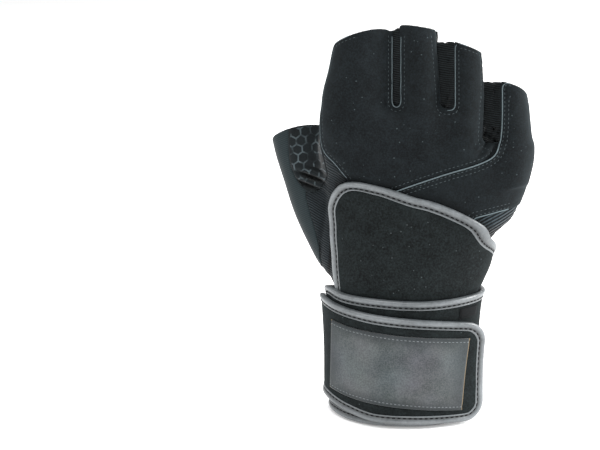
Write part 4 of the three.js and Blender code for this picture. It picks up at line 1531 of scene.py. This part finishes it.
def closed_sheet(name, inside, outside, uv_mm, extra=None):
    """A closed mesh from grids of its inner and outer points, with the same UV and values on both faces."""

    def both(values):
        return np.concatenate([values, values[:, ::-1]], axis=1)

    sheet = np.concatenate([inside, outside[:, ::-1]], axis=1)
    rows, columns = sheet.shape[:2]
    faces = grid_faces(rows, columns)
    last = (rows - 1) * columns
    for k in range(columns // 2 - 1):
        faces.append((k, k + 1, columns - 2 - k, columns - 1 - k))
        faces.append((last + columns - 1 - k, last + columns - 2 - k, last + k + 1, last + k))
    values = {key: both(value).ravel() for key, value in (extra or {}).items()}
    return make_object(name, sheet.reshape(-1, 3), faces, values, both(uv_mm).reshape(-1, 2) / 100)


STRAP_LEVELS = 34


def make_strap_cloth():
    along, top, bottom = strap_outline(BINDING_WIDTH - 0.5)
    levels = np.linspace(0, 1, STRAP_LEVELS)
    z = bottom[:, None] + (top - bottom)[:, None] * levels
    wide = along[:, None] + np.zeros_like(z)
    rim = np.minimum(levels, 1 - levels)[None, :] * (top - bottom)[:, None]
    crown = 0.25 * (1 - np.exp(-rim / 4))
    outside = on_strap(wide, z, STRAP_THICKNESS - 0.05 + crown)
    inside = on_strap(wide, z, 0.05)
    return closed_sheet("strap_cloth", inside, outside, np.stack([wide, z], axis=-1))


# The tape's stitches lie in a channel this far in from the edge. Its profile is given as how far in and how
# far out each point lies.
STITCH_IN = 3.15
TAPE_PROFILE = [
    (4.3, 0.1), (4.3, 1.8), (4.2, 2.02), (3.95, 2.12), (3.65, 2.02), (3.4, 1.86), (3.15, 1.8), (2.95, 1.84),
    (2.7, 2.08), (2.2, 2.32), (1.7, 2.44), (1.15, 2.42), (0.65, 2.22), (0.25, 1.85), (0.03, 1.3), (0.0, 0.7),
    (0.1, 0.15), (0.45, -0.15), (1.2, -0.25), (2.6, -0.25), (4.2, -0.2),
]


def tape_course(step=1.5):
    """The strap's outline as one closed run of places, with the direction that points inwards."""
    along, top, bottom = strap_outline(0.0, step)
    run = np.concatenate([np.stack([along, bottom], 1), np.stack([along, top], 1)[::-1]])
    keep = np.linalg.norm(run - np.roll(run, 1, axis=0), axis=1) > 0.05
    closed = np.vstack([run[keep], run[keep][:1]])
    length = np.concatenate([[0], np.cumsum(np.linalg.norm(np.diff(closed, axis=0), axis=1))])
    at = np.linspace(0, length[-1], int(length[-1] / step), endpoint=False)
    run = np.stack([np.interp(at, length, closed[:, i]) for i in range(2)], axis=1)
    ahead = np.roll(run, -1, axis=0) - np.roll(run, 1, axis=0)
    ahead /= np.linalg.norm(ahead, axis=1, keepdims=True)
    inward = np.stack([-ahead[:, 1], ahead[:, 0]], axis=1)
    return run, inward, at


def make_binding():
    """The tape, and the closed line of its stitches with the direction that they face."""
    run, inward, at = tape_course()
    profile = np.array(TAPE_PROFILE)
    waver = 0.12 * np.sin(at / 6.3) + 0.08 * np.sin(at / 2.9 + 1)
    inset = profile[None, :, 0] * (1 + 0.02 * np.sin(at / 9))[:, None]
    place = run[:, None, :] + inward[:, None, :] * inset[:, :, None]
    out = profile[None, :, 1] + waver[:, None] * (profile[None, :, 1] > 1.9) * 0.5
    points = on_strap(place[:, :, 0], place[:, :, 1], out)
    rows, columns = points.shape[:2]
    faces = grid_faces(rows, columns, loop_rows=True)
    uv = np.stack([at[:, None] + np.zeros((rows, columns)), inset], axis=-1).reshape(-1, 2) / 100
    piece = make_object("strap_binding_tape", points.reshape(-1, 3), faces, {"inset": inset.ravel()}, uv)
    along, z = (run + inward * STITCH_IN).T
    line, above = (on_strap(along, z, np.full(len(run), out)) for out in (1.9, 2.9))
    return piece, np.vstack([line, line[:1]]), np.vstack([above - line, (above - line)[:1]])


def tape_material():
    """Grained tape with a satin face: a painted highlight on its roll, paler at its inner edge, painted shade in
    its channel and at its outer edge.
    """
    material, tree, spot, _ = start_material("binding_tape")
    inset = attribute(tree, "inset")
    grain = dots(spot, 0.8)
    patches = noise(spot, 5, 3.0, 0.6)
    long_wear = noise(spot, 26, 2.0)
    # Painted shade in the stitch channel, and a painted highlight on the roll's crown that leaves the outer edge
    # darker.
    channel = inset.ramp(2.45, 2.85) * inset.ramp(3.85, 3.5)
    roll = inset.ramp(0.1, 1.1) * inset.ramp(2.6, 1.6)
    fine = noise(spot, 1.3, 2.0, 0.7)
    shade = patches.ramp(0.3, 0.7) * 0.2 + fine.ramp(0.3, 0.7) * 0.2
    shade = shade + long_wear.ramp(0.35, 0.65) * 0.25 + roll * 0.35
    colour = mix(shade, rgb("2b3032"), rgb("72777a"))
    colour = mix(channel * 0.9, colour, rgb("2e3234"))
    colour = mix(inset.ramp(3.8, 4.0) * 0.5, colour, rgb("6d7376"))
    height = grain * 0.7 + patches * 0.3
    return end_material(
        material, tree, colour, patches.ramp(0.2, 0.8, 0.32, 0.5) + channel * 0.3, height, 0.45, 0.14,
        Specular_IOR_Level=0.6, Coat_Weight=0.2, Coat_Roughness=0.3,
    )


strap_cloth = make_strap_cloth()
finish_piece(strap_cloth, STRAP_CLOTH, "strap_cloth", "wrist_strap")
strap_heights = TOPS - BOTTOMS
strap_area = float(((strap_heights[1:] + strap_heights[:-1]) / 2 * np.diff(ALONG)).sum())
binding, tape_line, tape_out = make_binding()
finish_piece(binding, tape_material(), "binding_tape", "strap_binding")
binding_stitches = grow_on_lines(
    "binding_stitches", [tape_line], [tape_out], STITCHES, DARK_THREAD, "binding_tape",
    pitch=BINDING_STITCH_PITCH * MM, thread=thread_part(*BINDING_THREAD),
)


# How far inside the patch's edge its stitches run, and the points of their line.
PATCH_STITCH_IN = 1.7
PATCH_STITCH_POINTS = 120


def plan_grid(plan, columns, levels):
    """A grid over a plan on the strap: places along it, heights, and the shares across and up."""
    share = np.linspace(0, 1, columns)[:, None]
    level = np.linspace(0, 1, levels)[None, :]

    def blend(start, end):
        return start + (end - start) * share

    high, low = (blend(plan["from"][i], plan["to"][i]) for i in (0, 1))
    turn = low + (high - low) * level
    top, bottom = (blend(*plan[key]) * CUFF_HEIGHT for key in ("top", "bottom"))
    z = bottom + (top - bottom) * level
    return np.interp(turn, TURNS, ALONG), z, share + 0 * level, level + 0 * share


def make_plate(name, plan):
    """A thin cloth piece sewn on the strap: a closed sheet whose face sinks where it is stitched."""
    along, z, u, v = plan_grid(plan, *plan["grid"])
    wide, tall = plan["size"]
    near_side = np.minimum(u, 1 - u) * wide
    near_end = np.minimum(v, 1 - v) * tall
    rim = np.minimum(near_side, near_end)
    face = plan["high"] - 0.5 * np.exp(-rim / 0.35) - plan["dip"] * bell((near_end - PATCH_STITCH_IN) / 0.7)
    face = face + 0.12 * np.sin(along / 4.1 + z / 6) * climb(rim, 0, 5)
    inside = on_strap(along, z, np.full_like(z, plan["low"]))
    outside = on_strap(along, z, face)
    uv_mm = np.stack([u * wide, v * tall], axis=-1)
    return closed_sheet(name, inside, outside, uv_mm, {"side": near_side, "end": near_end})


def patch_material():
    """A grey patch with a fine weave, a faint uneven sheen and painted shade towards its rims, whose raw sides
    are bound with tan thread.
    """
    material, tree, spot, _ = start_material("label_patch")
    side, end = attribute(tree, "side"), attribute(tree, "end")
    weave = noise(spot, 0.7, 2.0, 0.7)
    clouds = noise(spot, 15, 3.0, 0.55)
    tint = noise(spot, 24, 2.0, 0.5, 1)
    colour = mix(clouds.ramp(0.3, 0.7) * 0.45 + weave.ramp(0.3, 0.7) * 0.55, rgb("383c3e"), rgb("5e6264"))
    soft = mix(0.12, colour, tint, {"blend_type": "OVERLAY"})
    # Painted shade: the patch darkens towards its rims, and most at its very ends.
    rim = side.ramp(11.0, 1.0).largest(end.ramp(7.0, 1.0))
    wear_and_painted_light = (rim * 0.6 + end.ramp(1.3, 0.5) * 0.3).smallest(0.8)
    colour = mix(wear_and_painted_light, soft, rgb("2d3133"))
    colour = mix(side.ramp(0.55, 0.4), colour, rgb("8a7a60"))
    height = weave * 0.5 + clouds * 0.5
    return end_material(
        material, tree, colour, clouds.ramp(0.2, 0.8, 0.42, 0.62), height, 0.35, 0.15,
        Sheen_Weight=0.3, Sheen_Roughness=0.3,
    )


patch = make_plate("label_patch_cloth", PATCH_PLAN)
finish_piece(patch, patch_material(), "patch_cloth", "label_patch")
pad = make_plate("closure_pad_loops", PAD_PLAN)
finish_piece(pad, HEM_KNIT, "strap_cloth", "closure_pad")

patch_lines, patch_normals = [], []
along, z, _, levels = plan_grid(PATCH_PLAN, PATCH_STITCH_POINTS, 41)
stitch_level = PATCH_STITCH_IN / PATCH_PLAN["size"][1]
for level in (stitch_level, 1 - stitch_level):
    line = [[np.interp(level, levels[i], grid[i]) for i in range(PATCH_STITCH_POINTS)] for grid in (along, z)]
    place, height = np.array(line)[:, 2:-2]
    on_face, above = (on_strap(place, height, np.full(len(place), out)) for out in (2.78, 3.8))
    patch_lines.append(on_face)
    patch_normals.append(above - on_face)
patch_stitches = grow_on_lines(
    "patch_stitches", patch_lines, patch_normals, STITCHES, PATCH_THREAD, "patch_cloth",
    pitch=PATCH_STITCH_PITCH * MM, thread=thread_part(*PATCH_THREAD_SIZE),
)

for helper in [o for o in bpy.data.objects if o.name.startswith("thread_part")]:
    bpy.data.objects.remove(helper)


# The floor, the lights and the camera. The floor lies just under the glove's lowest edge.
FLOOR_SIZE = 8
FLOOR_DROP = 0.0006


def make_floor():
    bpy.ops.mesh.primitive_plane_add(size=FLOOR_SIZE, location=(0, 0, -FLOOR_DROP))
    floor = bpy.context.object
    floor.name = "floor"
    material, tree, spot, _ = start_material("pale_floor")
    cloud = noise(spot, 900, 2.0)
    end_material(
        material, tree, mix(cloud, rgb("fafafa"), rgb("ffffff")), cloud.ramp(0, 1, 0.75, 0.85),
        Emission_Color=(1, 1, 1, 1), Emission_Strength=0.25,
    )
    floor.data.materials.append(material)


# The lamps: name, place, height that they aim at, size and power.
LAMP_ROWS = (
    ("key", (-0.3, -0.8, 1.5), 0.09, 0.8, 15),
    ("right", (1.4, 0.0, 0.6), 0.09, 0.9, 36),
    ("left", (-1.2, -0.2, 0.9), 0.09, 0.8, 6),
    ("back", (0.3, 1.2, 1.2), 0.1, 0.9, 16),
)
SKY_STRENGTH = 0.58


def make_lights():
    for name, place, aim, size, power in LAMP_ROWS:
        data = bpy.data.lights.new(name, "AREA")
        data.shape, data.size, data.energy = "DISK", size, power
        lamp = link_object(name, data)
        lamp.location = place
        lamp.rotation_euler = (Vector((0, 0, aim)) - Vector(place)).to_track_quat("-Z", "Y").to_euler()
    world = bpy.data.worlds.new("studio")
    world.use_nodes = True
    sky = world.node_tree.nodes["Background"]
    sky.inputs["Color"].default_value = (1, 1, 1, 1)
    sky.inputs["Strength"].default_value = SKY_STRENGTH
    bpy.context.scene.world = world


# The camera: what it aims at, its elevation and distance, and the focal length, picture width and the glove's
# place across the picture in pixels.
CAMERA_AIM = Vector((0.0, 0.0, 0.093))
CAMERA_ELEVATION = math.radians(14.5)
CAMERA_DISTANCE = 0.682
FOCAL_PIXELS = 1417.0
PICTURE_WIDTH = 600
GLOVE_MIDDLE = 401.5
SENSOR_WIDTH = 36


def make_camera():
    """In front of the back of the hand and a little above it, with the glove right of the middle."""
    sideways = math.atan((GLOVE_MIDDLE - PICTURE_WIDTH / 2) / FOCAL_PIXELS)
    away = Vector((0, -math.cos(CAMERA_ELEVATION), math.sin(CAMERA_ELEVATION)))
    place = CAMERA_AIM + CAMERA_DISTANCE * away
    ahead = (CAMERA_AIM - place).normalized()
    upright = Vector((0, 0, 1))
    right = ahead.cross(upright).normalized()
    look = (ahead * math.cos(sideways) - right * math.sin(sideways)).normalized()
    up = (upright - ahead * (upright.dot(look) / ahead.dot(look))).normalized()
    side = look.cross(up).normalized()
    data = bpy.data.cameras.new("camera")
    data.sensor_width = SENSOR_WIDTH
    data.lens = FOCAL_PIXELS / PICTURE_WIDTH * SENSOR_WIDTH
    camera = link_object("camera", data)
    matrix = camera.matrix_world.copy()
    for i in range(3):
        matrix[i] = (side[i], up[i], -look[i], place[i])
    camera.matrix_world = matrix
    bpy.context.scene.camera = camera


bpy.context.scene.view_settings.view_transform = "Standard"
make_floor()
make_lights()
make_camera()
